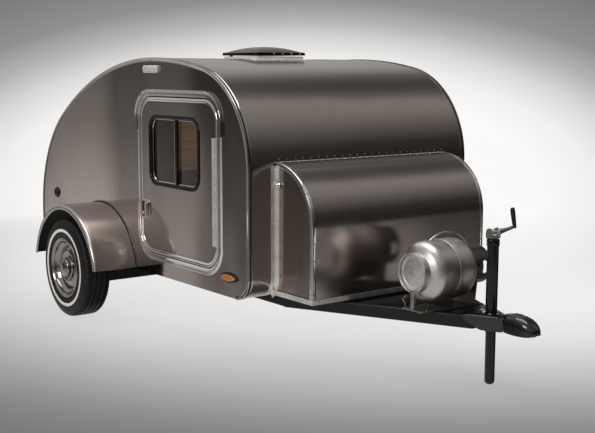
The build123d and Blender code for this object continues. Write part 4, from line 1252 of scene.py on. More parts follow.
for t in spread(6, -BASE_HALF - 0.012, BASE_HALF + 0.012):
    for x, y in ((t, -SCREW_OUT), (t, SCREW_OUT), (-SCREW_OUT, t), (SCREW_OUT, t)):
        near = min(flange_points, key=lambda p: abs(p[0] - vent_x - x))
        drop = near[1] + (near[0] - vent_x - x) * near[2] / near[3]
        heads.append(((vent_x + x, y, drop + 0.0022), (near[2], 0, near[3])))
piece("vent_screws", rivets(heads, 0.004, 0.0018), chrome)

RIM_TOP = BRIM_Z + 0.018
shape = [
    # half width, height, corner radius
    (VENT_HALF - 0.004, BRIM_Z, 0.016), (VENT_HALF - 0.0005, BRIM_Z + 0.0008, 0.018),
    (VENT_HALF, BRIM_Z + 0.003, 0.018),
]
shape += [(VENT_HALF - a, RIM_TOP + z, r) for a, z, r in mm([
    (1, -4, 18), (4.5, -0.8, 18), (10, 0, 18), (16, 0, 20), (19, 1.2, 22)])]
half_dome = VENT_HALF - 0.019
for t in spread(16, 0.06, 1.0):
    half = half_dome * (1 - t) + 0.004 * t
    height = RIM_TOP + 0.0012 + (DOME_TOP - RIM_TOP - 0.0012) * (1 - (1 - t) ** 2.2)
    shape.append((half, height, 0.022 * (1 - t) + 0.004 * t * 0.9 + half * 0.35 * t))
lid_rings = [square_ring(half, z, min(radius, half * 0.98), 8) for half, z, radius in shape]
points, faces = lofted(lid_rings, True, True)
vent_dome = piece("vent_dome", (points, faces), smoked_plastic, 35, body="vent_lid")
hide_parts("vent_lid")
heads = [((vent_high.x - 0.0006, y, BRIM_Z + 0.01), (1, 0, 0))
    for y in spread(4, 0.02 - VENT_HALF * 0.4, VENT_HALF - 0.05)]
piece("vent_lid_pins", rivets(heads, 0.004, 0.0012), white_plastic, body="vent_lid")
print("vent lid", round(2 * VENT_HALF, 3), "wide", round(DOME_TOP - BRIM_Z, 3), "high")

# %% [markdown]
# A porch lamp is a white housing with a clear ribbed lens in front. The marker lamps are long
# amber ovals in a dark base, and the tail lamps are red ones in rubber rings. Each is a rounded
# outline that is lofted forwards through smaller and smaller rings.

# %% Lamps
def pebble(outline_points, y0, y1, s, crown=4, shrink=0.75):
    """A rounded block on a side wall: its outline at y0, pulled in as it nears y1."""
    middle_x = sum(p[0] for p in outline_points) / len(outline_points)
    middle_z = sum(p[1] for p in outline_points) / len(outline_points)
    rings = [[(p[0], s * y0, p[1]) for p in outline_points]]
    for k in range(crown + 1):
        a = radians(90 * k / crown)
        depth = y0 + (y1 - y0) * (0.45 + 0.55 * sin(a))
        pull = (1 - cos(a)) * (1 - shrink)
        rings.append([(p[0] + (middle_x - p[0]) * pull, s * depth, p[1] + (middle_z - p[1]) * pull)
            for p in outline_points])
    return lofted(rings)


def almond(low, high, inset, steps=48):
    """An oval with its ends drawn to a soft point."""
    points = []
    for k in range(steps):
        a = 2 * pi * k / steps
        x = (high.x + low.x) / 2 + ((high.x - low.x) / 2 - inset * 1.3) * cos(a)
        z = (high.z + low.z) / 2 + ((high.z - low.z) / 2 - inset) * sin(a) * abs(sin(a)) ** 0.25
        points.append((x, z))
    return points


porch_low, porch_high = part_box("porch_lamps")
marker_low, marker_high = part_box("marker_lamps")
tail_low, tail_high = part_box("tail_lamps")
for side, s in SIDES:
    face = loop_of(rounded_path(porch_low.x, porch_high.x, porch_low.z, porch_high.z, 0.01, 4))
    inner = loop_of(rounded_path(porch_low.x + 0.01, porch_high.x - 0.01, porch_low.z + 0.006,
        porch_high.z - 0.005, 0.008, 4))
    base = plate([face], s * body_half, s * (body_half + 0.012))
    lamp = piece(f"porch_lamp_base_{side}", base, white_plastic, 40, 0.0015)
    piece(f"porch_lamp_lens_{side}", pebble(inner, body_half + 0.01, porch_high.y, s, 5, 0.82), clear_lens, 60)
    oval = almond(marker_low, marker_high, 0.0)
    small = almond(marker_low, marker_high, 0.01)
    rim_mesh = pebble(oval, body_half, body_half + 0.01, s, 3, 0.9)
    rim = piece(f"marker_lamp_rim_{side}", rim_mesh, black_plastic, 50)
    lens_mesh = pebble(small, body_half + 0.006, marker_high.y, s, 5, 0.8)
    piece(f"marker_lamp_lens_{side}", lens_mesh, amber_lens, 60)
    if s < 0:
        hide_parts("porch_lamps")
        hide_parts("marker_lamps")

parts, rims = [], []
for s in (-1, 1):
    y0, y1 = sorted((s * (tail_high.y - 0.16), s * tail_high.y))
    oval = loop_of(rounded_path(y0, y1, tail_low.z, tail_high.z, 0.0265, 8))
    small = loop_of(rounded_path(y0 + 0.01, y1 - 0.01, tail_low.z + 0.01, tail_high.z - 0.01, 0.0165, 8))
    depth = tail_high.x - tail_low.x
    for group, loop, start, reach, pull in ((rims, oval, 0.0, 0.01, 0.9), (parts, small, 0.006, depth, 0.8)):
        points, faces = pebble(loop, start, reach, 1, 4, pull)
        group.append(([(tail_high.x - q[1], q[0], q[2]) for q in points], faces))
tail_rims = piece("tail_lamp_rims", joined(*rims), rubber_seal, 50)
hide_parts("tail_lamps")
piece("tail_lamp_lenses", joined(*parts), red_lens, 60)
print("lamps done")

# %% Power outlet
plug_low, plug_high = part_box("cable_outlet")
plug_x, plug_z = (plug_low.x + plug_high.x) / 2, (plug_low.z + plug_high.z) / 2
wide = (plug_high.x - plug_low.x) / 2
section = [(0.0, 0.0)] + [(-a, wide - r) for a, r in mm([
    (0, 0), (3, 0), (5.5, 2), (6.5, 6), (6.5, 9), (12.5, 11), (14.2, 13), (14.8, 18)])]
section += [(-0.0146, 0.006), (-0.0148, 0.0)]
plug = piece("power_outlet", turned(section, (plug_x, -body_half, plug_z), 48), black_plastic, 35)
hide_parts("cable_outlet")
spots = arc(plug_x, plug_z, wide - 0.005, (45, 135, 225, 315))
heads = [((x, -body_half - 0.0062, z), (0, -1, 0)) for x, z in spots]
piece("power_outlet_screws", rivets(heads, 0.0022, 0.0012), chrome)
print("outlet radius", round(wide, 3))

# %% [markdown]
# ## Running gear
#
# The fender is rolled sheet: a flat top, a soft bend, a short skirt with a wired edge, and a flange
# against the body with a rubber welt pressed in the joint. Its ends are cut level, so each line of
# the section starts at the angle where it reaches that height.

# %% Fenders
fender_low, fender_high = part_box("fenders")
FENDER_X = (fender_low.x + fender_high.x) / 2
FENDER_OUT = fender_high.y
CUT_Z = fender_low.z
FENDER_R = 0.436
FENDER_Z = fender_high.z - FENDER_R - 0.012


def fender_arc(section, s, steps=72):
    """A section of (y, radius) points swung over the wheel and cut level."""
    rings = []
    for k in range(steps + 1):
        ring = []
        for y, r in section:
            a0 = asin((CUT_Z - FENDER_Z) / r)
            a = a0 + (pi - 2 * a0) * k / steps
            ring.append((FENDER_X + r * cos(a), s * y, FENDER_Z + r * sin(a)))
        rings.append(ring)
    return lofted(rings)


bend_y, bend_r, bend = FENDER_OUT - 0.016, FENDER_R - 0.016, 0.016
thin, wire = 0.0022, 0.0045
section_y = [(body_half + y, FENDER_R + r) for y, r in mm([(0.6, 12), (2.6, 12), (2.8, 4), (6, 0), (100, 0)])]
outer = section_y + [(bend_y - 0.03, FENDER_R)]
outer += [(bend_y + bend * sind(a), bend_r + bend * cosd(a)) for a in spread(9, 0, 90)]
outer += [(FENDER_OUT, FENDER_R - 0.02)]
outer += [(FENDER_OUT - wire + wire * cosd(a), FENDER_R - 0.0245 - wire * sind(a)) for a in spread(7, 0, 180)]
inner = [(FENDER_OUT - y, FENDER_R - r) for y, r in ((0.009, 0.022), (thin + 0.001, 0.02))]
inner += [(FENDER_OUT - thin, bend_r)]
inner += [(bend_y + (bend - thin) * sind(a), bend_r + (bend - thin) * cosd(a)) for a in spread(7, 80, 0)]
inner += [(body_half + 0.004, FENDER_R - thin), (body_half + 0.0006, FENDER_R - thin)]
under = [(y - 0.0003, r - 0.0004) for y, r in inner[1:-1]]
lining = under + [(y - 0.0008, r - 0.0008) for y, r in reversed(under)]
for side, s in SIDES:
    piece(f"fender_lining_{side}", fender_arc(lining, s), undercoat, 38)
    fender = piece(f"fender_{side}", fender_arc(outer + inner, s), fender_skin, 38)
    welt = arc(body_half + 0.0045, FENDER_R + 0.003, 0.003, range(0, 360, 45))
    piece(f"fender_welt_{side}", fender_arc(welt, s), rubber_seal, 60)
    spots = arc(FENDER_X, FENDER_Z, FENDER_R + 0.0078, spread(15, 16, 164))
    heads = [((x, s * (body_half + 0.0027), z), (0, s, 0)) for x, z in spots]
    piece(f"fender_rivets_{side}", rivets(heads, 0.0032, 0.0016), chrome)
    if s < 0:
        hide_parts("fenders")
print("fender radius", FENDER_R)

# %% [markdown]
# A tyre is one section swung round the axle, but a tread isn't the same all the way round: the
# blocks are cut by narrow slots. Here the section gives the long grooves, and on some of the steps
# the points between the grooves are pulled down, which leaves the slots. The narrow white band is
# a ring of faces with its own material.

# %% Tyres
tyre_low, tyre_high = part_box("tyre_left")
WHEEL_X, WHEEL_Z = (tyre_low.x + tyre_high.x) / 2, (tyre_low.z + tyre_high.z) / 2
TYRE_R = (tyre_high.z - tyre_low.z) / 2
TYRE_MID, TYRE_HALF = (tyre_low.y + tyre_high.y) / 2, (tyre_high.y - tyre_low.y) / 2
RIM_R = 0.186
WHITE = (0.2215, 0.24)


def tyre_mesh(s, steps=264, slot_every=4):
    """Points and faces of a tyre, its outer face on side s."""
    side_line = [
        # out from the middle as a share of half the width, radius
        (0.8, RIM_R - 0.01), (0.88, RIM_R - 0.004), (0.925, RIM_R + 0.004), (0.945, RIM_R + 0.012),
        (0.965, RIM_R + 0.02), (0.978, WHITE[0] - 0.0012), (0.984, WHITE[0]), (0.994, 0.23), (1.0, WHITE[1]),
        (0.996, WHITE[1] + 0.0012), (0.99, 0.252), (0.972, 0.264), (0.945, 0.274), (0.925, 0.279),
        (0.905, 0.285), (0.87, 0.292), (0.82, 0.2975), (0.76, 0.301),
    ]
    grooves = [-0.54, -0.18, 0.18, 0.54]
    tread = [(0.7, TYRE_R - 0.0022), (0.6, TYRE_R - 0.0008)]
    for g in reversed(grooves):
        top = TYRE_R - 0.0008 * (abs(g) / 0.54)
        tread += [(g + 0.038, top), (g + 0.026, TYRE_R - 0.007), (g - 0.026, TYRE_R - 0.007), (g - 0.038, top)]
    tread += [(-0.6, TYRE_R - 0.0008), (-0.7, TYRE_R - 0.0022)]
    line = side_line + tread + [(-share, r) for share, r in reversed(side_line)]
    line += [(-0.7, RIM_R - 0.006), (0.7, RIM_R - 0.006)]
    count = len(line)
    points, faces, kinds = [], [], []
    for k in range(steps):
        a = 2 * pi * k / steps
        for j, (share, r) in enumerate(line):
            shoulder = abs(share) > 0.56
            slot = (k % slot_every == 0) if shoulder else (k % 2 == 0)
            if slot and 0.58 < abs(share) < 0.9 and r > 0.284:
                r -= 0.0045
            elif slot and abs(share) < 0.56 and r > TYRE_R - 0.003:
                r -= 0.0016
            points.append((WHEEL_X + r * cos(a), s * (TYRE_MID + share * TYRE_HALF), WHEEL_Z + r * sin(a)))
    for k in range(steps):
        m = (k + 1) % steps
        for j in range(count):
            n = (j + 1) % count
            faces.append((k * count + j, k * count + n, m * count + n, m * count + j))
            low, high = sorted((line[j][1], line[n][1]))
            white = line[j][0] > 0.9 and low > WHITE[0] - 0.0001 and high < WHITE[1] + 0.0001
            kinds.append(1 if white else 0)
    return points, faces, kinds


for side, s in SIDES:
    tyre = piece(f"tyre_tread_{side}", tyre_mesh(s), [tyre_rubber, white_rubber], 30, body=f"wheel_{side}")
    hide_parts(f"tyre_{side}")
print("tyre radius", round(TYRE_R, 3))

# %% [markdown]
# The wheel is a plated steel dish, deep behind a rolled lip, with a stepped ring round the bulged
# cap. The same turning helper makes it: the section carries all the small radii that give chrome
# its lines.

# %% Wheels
def lip_offsets(rows):
    """Rows of millimetres in from the rim's lip and its radius."""
    return [(TYRE_HALF - a, RIM_R - r) for a, r in mm(rows)]


RIM_SECTION_Y = [
    # out from the tyre's middle, radius
    (-TYRE_HALF + 0.014, RIM_R - 0.01), (-TYRE_HALF + 0.01, RIM_R - 0.002),
    (-TYRE_HALF + 0.014, RIM_R - 0.001), (-TYRE_HALF + 0.022, RIM_R - 0.012), (-0.03, RIM_R - 0.016),
    (0.03, RIM_R - 0.016),
] + lip_offsets([
    (22, 11), (13, 2), (6, 0), (2.5, 1.5), (1.5, 5), (3, 8.5), (8, 11), (12.5, 16), (14, 20), (24, 22.5),
    (30, 25), (34, 31), (40, 34), (44.5, 40), (45.5, 48), (43, 56), (36, 66), (31, 76), (29, 86), (28.5, 96),
    (30, 104), (34, 110),
]) + [(TYRE_HALF - 0.038, 0.07), (TYRE_HALF - 0.038, 0.064)]
CAP_PROFILE = [(TYRE_HALF + a, r) for a, r in mm([
    (-36, 64.5), (-30, 65.5), (-28, 64), (-26, 60), (-8, 57.5), (-4, 56), (-1, 52), (1, 47), (2, 44), (1.2, 42),
    (2.4, 39.5), (5.5, 33), (8, 23), (9.4, 12), (9.9, 0)])]
BACK_PROFILE = [(TYRE_HALF - 0.04, 0.066), (TYRE_HALF - 0.047, 0.12)] + lip_offsets([(50, 50), (48, 36)])
BACK_PROFILE += [(-TYRE_HALF + 0.026, RIM_R - 0.018), (-TYRE_HALF + 0.016, RIM_R - 0.013)]
STEM_SECTION = mm([(0, 4.2), (10, 4), (24, 3), (30, 2.6), (32, 0)])
for side, s in SIDES:
    centre = (WHEEL_X, s * TYRE_MID, WHEEL_Z)
    rim = turned([(s * y, r) for y, r in RIM_SECTION_Y], centre, 128)
    cap = turned([(s * y, r) for y, r in CAP_PROFILE], centre, 96)
    back = turned([(s * y, r) for y, r in BACK_PROFILE], centre, 96)
    wheel = piece(f"wheel_disc_{side}", joined(rim, cap), wheel_chrome, 50, body=f"wheel_{side}")
    piece(f"wheel_back_{side}", back, black_paint, 50, body=f"wheel_{side}")
    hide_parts(f"wheel_{side}")
    stem_x, stem_z = on_arc((WHEEL_X, WHEEL_Z), RIM_R - 0.04, 60)
    stem_at = (stem_x, s * (TYRE_MID + TYRE_HALF - 0.046), stem_z)
    stem = turned([(s * y, r) for y, r in STEM_SECTION], stem_at, 12)
    piece(f"wheel_valve_{side}", stem, rubber_seal, 50, body=f"wheel_{side}")
print("rim radius", RIM_R)

# %% [markdown]
# ## Under the body
#
# The frame is welded square tube, painted black. A tube has round corners, which a bevel gives, and
# a weld leaves a wavy bead where two tubes meet. The drawbar's two rails run together towards the
# coupler, so each is a slanted bar drawn by its four corners from above.

# %% Frame rails, cross members and axle
rail_low, rail_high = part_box("chassis")
RAIL_TOP, RAIL_H, RAIL_W = rail_top, 0.064, 0.05
RAIL_Y = rail_high.y
HITCH_X, HITCH_Y = front_x + 0.986, 0.047
JACK_X = front_x + 0.948
RAKE = (RAIL_Y - HITCH_Y) / (HITCH_X - front_x)
RAIL_RUN = RAIL_W * sqrt(1 + RAKE * RAKE)


def rail_out(x):
    """The outer face of a drawbar rail at x."""
    return RAIL_Y - RAKE * (x - front_x)


def slanted_bar(x0, y0, x1, y1, width, z0, z1):
    corners = [(x0, y0), (x1, y1), (x1, y1 - width), (x0, y0 - width)]
    return lofted([[(x, y, z) for x, y in corners] for z in (z0, z1)])


def mirrored_y(mesh_data):
    return [(x, -y, z) for x, y, z in mesh_data[0]], mesh_data[1]


rail_end = rail_high.x
bars = []
drawbar_x = front_x - 0.02
for x0, x1, y0, y1, width in (
    (drawbar_x, rail_end, rail_out(drawbar_x), rail_out(rail_end), RAIL_RUN),
    (rail_low.x, front_x - 0.022, RAIL_Y, RAIL_Y, RAIL_W),
):
    bar = slanted_bar(x0, y0, x1, y1, width, RAIL_TOP - RAIL_H, RAIL_TOP)
    bars += [bar, mirrored_y(bar)]
CROSS_X = (rail_low.x, -1.262, -0.632, front_x - 0.5, front_x - 0.07)
BOX_BEARERS = (front_x + 0.04, front_x + 0.25)
BEARER = 0.04
for x in CROSS_X:
    bars.append(block(x, x + 0.05, RAIL_W - RAIL_Y, RAIL_Y - RAIL_W, RAIL_TOP - 0.05, RAIL_TOP))
for x in BOX_BEARERS:
    reach = rail_out(x + BEARER) - 0.01
    bars.append(block(x, x + BEARER, -reach, reach, RAIL_TOP - 0.008, BOX_Z0 - 0.0002))
rails = piece("frame_rails", joined(*bars), black_paint, 30, 0.005, 3)
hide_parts("chassis")


def weld_bead(points, radius=0.004):
    """A bead along a joint: small overlapping ridges."""
    path = []
    for a, b in zip(points, points[1:]):
        run = (Vector(b) - Vector(a)).length
        steps = max(2, int(run / 0.004))
        for k in range(steps):
            path.append((Vector(a).lerp(Vector(b), k / steps), (Vector(b) - Vector(a)).normalized()))
    rings = []
    for k, (p, direction) in enumerate(path):
        side_a = direction.orthogonal().normalized()
        side_b = direction.cross(side_a)
        r = radius * (0.82 if k % 2 else 1.0)
        rings.append([p + (side_a * cos(2 * pi * j / 7) + side_b * sin(2 * pi * j / 7)) * r for j in range(7)])
    return lofted(rings)


beads = []
for s in (-1, 1):
    for x in CROSS_X:
        y = s * (RAIL_Y - RAIL_W)
        for edge in (x, x + 0.05):
            beads.append(weld_bead([(edge, y, RAIL_TOP - 0.05), (edge, y, RAIL_TOP - 0.004)]))
    for x in BOX_BEARERS:
        edge, reach = x + BEARER, rail_out(x + BEARER)
        ends = [(edge, s * (reach - inset), RAIL_TOP + 0.001) for inset in (0.012, 0.05)]
        beads.append(weld_bead(ends, 0.003))
piece("frame_welds", joined(*beads), black_paint, 50)
print("frame bars", len(bars), "welds", len(beads))

# %% [markdown]
# The torsion axle is a square tube with an arm at each end. Rubber cords inside the tube spring the
# arm, so there is no leaf or coil to see. The hub is turned and carries the wheel.

# %% Torsion axle
axle_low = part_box("axle_beam")[0]
HUB_IN = TYRE_MID - TYRE_HALF
BEAM_X = WHEEL_X + 0.09
parts = [block(BEAM_X, BEAM_X + 0.06, 0.04 - HUB_IN, HUB_IN - 0.04, axle_low.z, RAIL_TOP - RAIL_H)]
for s in (-1, 1):
    y0, y1 = sorted((s * (HUB_IN - 0.07), s * (HUB_IN - 0.03)))
    profile = [(WHEEL_X + 0.032 * cosd(a), WHEEL_Z - 0.018 + 0.04 * sind(a)) for a in spread(9, 100, 270)]
    profile += [(BEAM_X + 0.058, axle_low.z + 0.028), (BEAM_X + 0.058, 0.328), (BEAM_X + 0.01, 0.329)]
    parts.append(plate([profile], y0, y1))
beam = piece("axle_tube", joined(*parts), black_paint, 30, 0.004, 2)
hub_section = mm([
    (-38, 0), (-38, 24), (-34, 34), (-4, 34), (-2, 44), (6, 44), (8, 30), (30, 28), (36, 15.5), (90, 15.5),
    (106, 13.5), (112, 0),
])
hubs = [turned([(s * a, r) for a, r in hub_section], (WHEEL_X, s * HUB_IN, WHEEL_Z), 40) for s in (-1, 1)]
piece("axle_hubs", joined(*hubs), black_paint, 40)
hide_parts("axle_beam")
brackets, bolts = [], []
under_rail = RAIL_TOP - RAIL_H
for s in (-1, 1):
    y0, y1 = sorted((s * (RAIL_Y - RAIL_W + 0.004), s * (RAIL_Y - 0.004)))
    for x0, x1, bolt in ((-0.028, -0.001, -0.014), (0.061, 0.088, 0.074)):
        brackets.append(block(BEAM_X + x0, BEAM_X + x1, y0, y1, under_rail - 0.008, under_rail - 0.0002))
        bolts.append(((BEAM_X + bolt, s * (RAIL_Y - RAIL_W / 2), under_rail - 0.008), (0, 0, -1)))
piece("axle_brackets", joined(*brackets), black_paint, 30, 0.0015)
piece("axle_bolts", rivets(bolts, 0.009, 0.006, 6), zinc)
print("axle at", round(WHEEL_X, 3))

# %% [markdown]
# ## Drawbar
#
# The coupler is pressed plate: two flanges that clasp the rails and taper at the rear, a top plate
# with round corners, and a ball housing with a domed nose. Its round forms are lofted from rounded
# outlines at a few heights.

# %% Coupler
PLATE_X, PLATE_FRONT, NOSE_X = front_x + 0.866, HITCH_X + 0.06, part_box("coupler")[1].x
PLATE_T, NOSE_R = 0.008, 0.05
BALL_X = NOSE_X - NOSE_R - 0.002
FRONT_Y = HITCH_Y - 0.06 * RAKE
FLANGE_Y = rail_out(PLATE_X)


def stacked(loops):
    """Rings of (x, y) points at heights, capped at both ends."""
    return lofted([[(x, y, z) for x, y in loop] for z, loop in loops])


def grown(loop, amount):
    """A loop moved outwards from its middle line along y and x by a small amount."""
    result = []
    count = len(loop)
    for k in range(count):
        a, b = loop[k - 1], loop[(k + 1) % count]
        dx, dy = b[0] - a[0], b[1] - a[1]
        run = hypot(dx, dy) or 1
        result.append((loop[k][0] + dy / run * amount, loop[k][1] - dx / run * amount))
    return result


def softened(corners, radius, steps=5):
    """A polygon with its corners rounded by short curves."""
    points = []
    count = len(corners)
    for k in range(count):
        p, a, b = Vector(corners[k]), Vector(corners[k - 1]), Vector(corners[(k + 1) % count])
        start = p + (a - p).normalized() * min(radius, (a - p).length * 0.45)
        stop = p + (b - p).normalized() * min(radius, (b - p).length * 0.45)
        for j in range(steps + 1):
            t = j / steps
            q = start * (1 - t) ** 2 + p * 2 * t * (1 - t) + stop * t * t
            points.append((q.x, q.y))
    return points


top_loop = softened([
    (PLATE_X + 0.002, -FLANGE_Y - 0.0066), (PLATE_FRONT, -FRONT_Y - 0.0066), (NOSE_X - 0.06, -0.036),
    (NOSE_X - 0.06, 0.036), (PLATE_FRONT, FRONT_Y + 0.0066), (PLATE_X + 0.002, FLANGE_Y + 0.0066),
    (PLATE_X + 0.02, 0.0),
], 0.022)
deck = RAIL_TOP + PLATE_T
shapes = [stacked([
    (RAIL_TOP + 0.0004, top_loop), (deck - 0.003, top_loop), (deck - 0.001, grown(top_loop, -0.0008)),
    (deck, grown(top_loop, -0.0028)),
])]
for s in (-1, 1):
    profile = softened([
        (PLATE_X, deck - 0.001), (PLATE_X, RAIL_TOP - 0.02), (PLATE_X + 0.078, RAIL_TOP - RAIL_H),
        (PLATE_FRONT, RAIL_TOP - RAIL_H), (PLATE_FRONT, deck - 0.001),
    ], 0.012)
    ring_in = [(x, s * (rail_out(x) + 0.0004), z) for x, z in profile]
    ring_out = [(x, s * (rail_out(x) + 0.0066), z) for x, z in profile]
    shapes.append(lofted([ring_in, ring_out]))
coupler = piece("coupler_plates", joined(*shapes), black_gloss, 40, 0.0026, 3)
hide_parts("coupler")
BALL_R = 0.025
socket_section = [
    # from the top of the rail, radius
    (-0.012, 0.0), (-0.02, BALL_R * 0.8), (-0.03, BALL_R + 0.0012), (-0.052, BALL_R + 0.0012),
    (-0.0532, 0.029), (-0.053, 0.0325), (-0.048, 0.034), (-0.01, 0.033), (-0.006, 0.02), (-0.004, 0.0),
]
piece("coupler_socket", turned(socket_section, (BALL_X, 0, RAIL_TOP), 48, "z"), black_paint, 40)


def hood_ring(x, half, top, foot, solid, wall=0.004, steps=20):
    """An arch across the drawbar and back, over an inner arch or, where it is solid, over its foot."""
    ring = []
    for grow, angles in ((0.0, spread(steps + 1, 0, 180)), (wall, spread(steps + 1, 180, 0))):
        for a in angles:
            c, d = cosd(a), sind(a)
            y = (half - grow) * (abs(c) ** 0.62) * (1 if c >= 0 else -1)
            tall = top - grow - foot if not (solid and grow) else 0.001
            ring.append((x, y, foot + tall * d ** 0.62))
    return ring


HOOD = mm([
    # back from the nose, half width, top and foot below the deck
    (232, 28, -4, -0.2), (216, 35, -12, -0.2), (196, 40, -18, -0.2), (170.2, 44, -22, -0.2),
    (170, 48, -22.2, 60), (145, 50.5, -25, 62), (115, 52, -27, 63), (88, 51.5, -25, 63), (62, 50, -19, 62),
    (40, 46.5, -9, 61), (24, 40.5, 2, 59), (12, 32, 13, 56), (4, 23, 21.5, 53.5), (0.8, 16, 27, 50),
])
hood = lofted([
    hood_ring(NOSE_X - back, half, deck - top, deck - foot, back < 0.03, min(0.004, half * 0.3))
    for back, half, top, foot in HOOD
])
piece("coupler_nose", hood, black_gloss, 50)
print("coupler nose at", round(BALL_X, 3))

# %% [markdown]
# On the plate sit the jack's flange with its bolts, an oval safety-chain eye behind it, and the
# hand latch that locks the ball: a low pressed lever that lies along the hood. They are small, but
# they break the line of the drawbar against the pale floor.

# %% Coupler latch, jack flange, eye and bolts
def oval(cx, half_long, half_wide, steps=40):
    return [(cx + half_long * cos(2 * pi * k / steps), half_wide * sin(2 * pi * k / steps))
        for k in range(steps)]


flange_loop = softened([(JACK_X + x, y) for x, y in mm([
    (-52, 0), (-26, -46), (26, -46), (52, 0), (26, 46), (-26, 46)])], 0.02)
flange = stacked([(deck, flange_loop), (deck + 0.004, flange_loop),
    (deck + 0.0052, grown(flange_loop, -0.0012))])
eye_x = front_x + 0.912
EYE_STRETCH = 3.2
eye_path = []
for x, y in oval(eye_x - 0.012, 0.03, 0.016):
    out = Vector((x - eye_x, y * EYE_STRETCH, 0)).normalized()
    eye_path.append((Vector((x, y, deck + 0.0045)), out, Vector((0, 0, 1))))
small_circle = arc(0, 0, 0.0042, range(0, 360, 45))
piece("jack_flange", joined(flange), black_paint, 40)
bolts = [((JACK_X + 0.04 * cosd(a), 0.036 * sind(a), deck + 0.005), (0, 0, 1)) for a in range(0, 360, 60)]
piece("coupler_bolts", rivets(bolts, 0.0085, 0.006, 6), zinc)
piece("chain_eye", carried(small_circle, eye_path, True), zinc, 60)
lever = lofted([
    [(x, -w, z), (x, -w * 0.6, z + h), (x, w * 0.6, z + h), (x, w, z)]
    for x, w, z, h in (
        (NOSE_X - 0.18, 0.012, deck + 0.011, 0.007), (NOSE_X - 0.14, 0.0125, deck + 0.024, 0.007),
        (NOSE_X - 0.105, 0.0115, deck + 0.0258, 0.007), (NOSE_X - 0.07, 0.0085, deck + 0.02, 0.005),
    )
])
piece("coupler_latch", lever, black_gloss, 40, 0.0012)
print("deck height", round(deck, 3))

# %% [markdown]
# The jack is a steel tube that is clamped in the coupler. Its cap carries a gear head in a folded
# zinc bracket, and the crank ends in a tapered grip. The leg below slides on its own body.

# %% Jack
jack_low, jack_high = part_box("jack_tube")
leg_low, leg_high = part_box("jack_leg")
JACK_R, JACK_TOP, LEG_R = 0.0286, jack_high.z, (leg_high.x - leg_low.x) / 2
tube = [
    # height, radius
    (jack_low.z, LEG_R + 0.001), (jack_low.z, JACK_R - 0.0006), (jack_low.z + 0.0012, JACK_R),
    (JACK_TOP - 0.036, JACK_R), (JACK_TOP - 0.0355, JACK_R + 0.0022), (JACK_TOP - 0.034, JACK_R + 0.0028),
    (JACK_TOP - 0.008, JACK_R + 0.0028), (JACK_TOP - 0.0045, JACK_R + 0.0012),
    (JACK_TOP - 0.0012, JACK_R - 0.006), (JACK_TOP, JACK_R - 0.012), (JACK_TOP, 0.0),
]
jack = piece("jack_outer_tube", turned(tube, (JACK_X, 0, 0), 56, "z"), black_paint, 35)
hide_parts("jack_tube")
leg = mm([(0, 0), (0.4, 8.5), (2.2, 14), (6, 19.5), (10.5, 23)])
leg += [(0.0165, LEG_R), (leg_high.z, LEG_R), (leg_high.z, 0.0)]
leg_piece = piece("jack_inner_leg", turned(leg, (JACK_X, 0, 0), 48, "z"), black_paint, 35, body="jack_leg")
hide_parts("jack_leg")

CHEEK_R = 0.0215
cheek = [(JACK_X - CHEEK_R, JACK_TOP), (JACK_X + CHEEK_R, JACK_TOP)]
cheek += arc(JACK_X, JACK_TOP + 0.028, CHEEK_R, spread(15, 0, 180))
bracket = [plate([cheek], -0.0295, -0.0265), plate([cheek], 0.0245, 0.0275)]
bracket.append(block(JACK_X - CHEEK_R, JACK_X + CHEEK_R, -0.0295, 0.0275, JACK_TOP, JACK_TOP + 0.003))
head = piece("jack_head", joined(*bracket), chrome, 30, 0.0014)
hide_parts("jack_crank")
gear_section = mm([(-24, 0), (-24, 14), (-10, 16), (-4, 20), (6, 20), (12, 11), (36, 9), (38, 0)])
gear = turned(gear_section, (JACK_X, -0.002, JACK_TOP + 0.024), 28)
piece("jack_gear", gear, chrome, 35)
CRANK_Y = 0.14
GRIP_LEN = 0.104
arm = []
for share, half, tall in (
    (0.0, 0.01, 0.0165), (0.05, 0.0105, 0.017), (0.25, 0.0088, 0.013), (0.55, 0.007, 0.01),
    (0.85, 0.0058, 0.0088), (1.0, 0.005, 0.0085),
):
    y, z = 0.03 + (CRANK_Y + 0.002 - 0.03) * share, JACK_TOP + 0.026 + 0.016 * share ** 1.4
    arm.append([(JACK_X + half * cosd(a), y, z + tall * sind(a)) for a in range(0, 360, 20)])
piece("jack_arm", lofted(arm), chrome, 60, 0.0008)
tilt = radians(12)
lean = Vector((0, -sin(tilt), cos(tilt)))
grip_low = Vector((JACK_X, CRANK_Y, JACK_TOP + 0.034 + GRIP_LEN / 2)) - lean * (GRIP_LEN / 2)
side_x, side_y = Vector((1, 0, 0)), lean.cross(Vector((1, 0, 0)))
rings = []
for d, r in mm([
    (0, 6), (1, 8), (6, 9.2), (30, 10.4), (60, 11.3), (88, 11.7), (98, 10.8), (103, 8), (103.8, 4)]):
    turns = [2 * pi * k / 28 for k in range(28)]
    rings.append([grip_low + lean * d + (side_x * cos(a) + side_y * sin(a)) * r for a in turns])
piece("jack_grip", lofted(rings), black_plastic, 50)
print("jack top", round(JACK_TOP, 3))

# %% [markdown]
# ## Gas bottle
#
# The bottle lies across the drawbar. It is spun and welded steel with a dull zinc skin: dished ends,
# a weld round the middle, a foot ring at the viewer's end with the end disc sunk inside it, and a
# collar round the valve. One turned section makes the vessel.

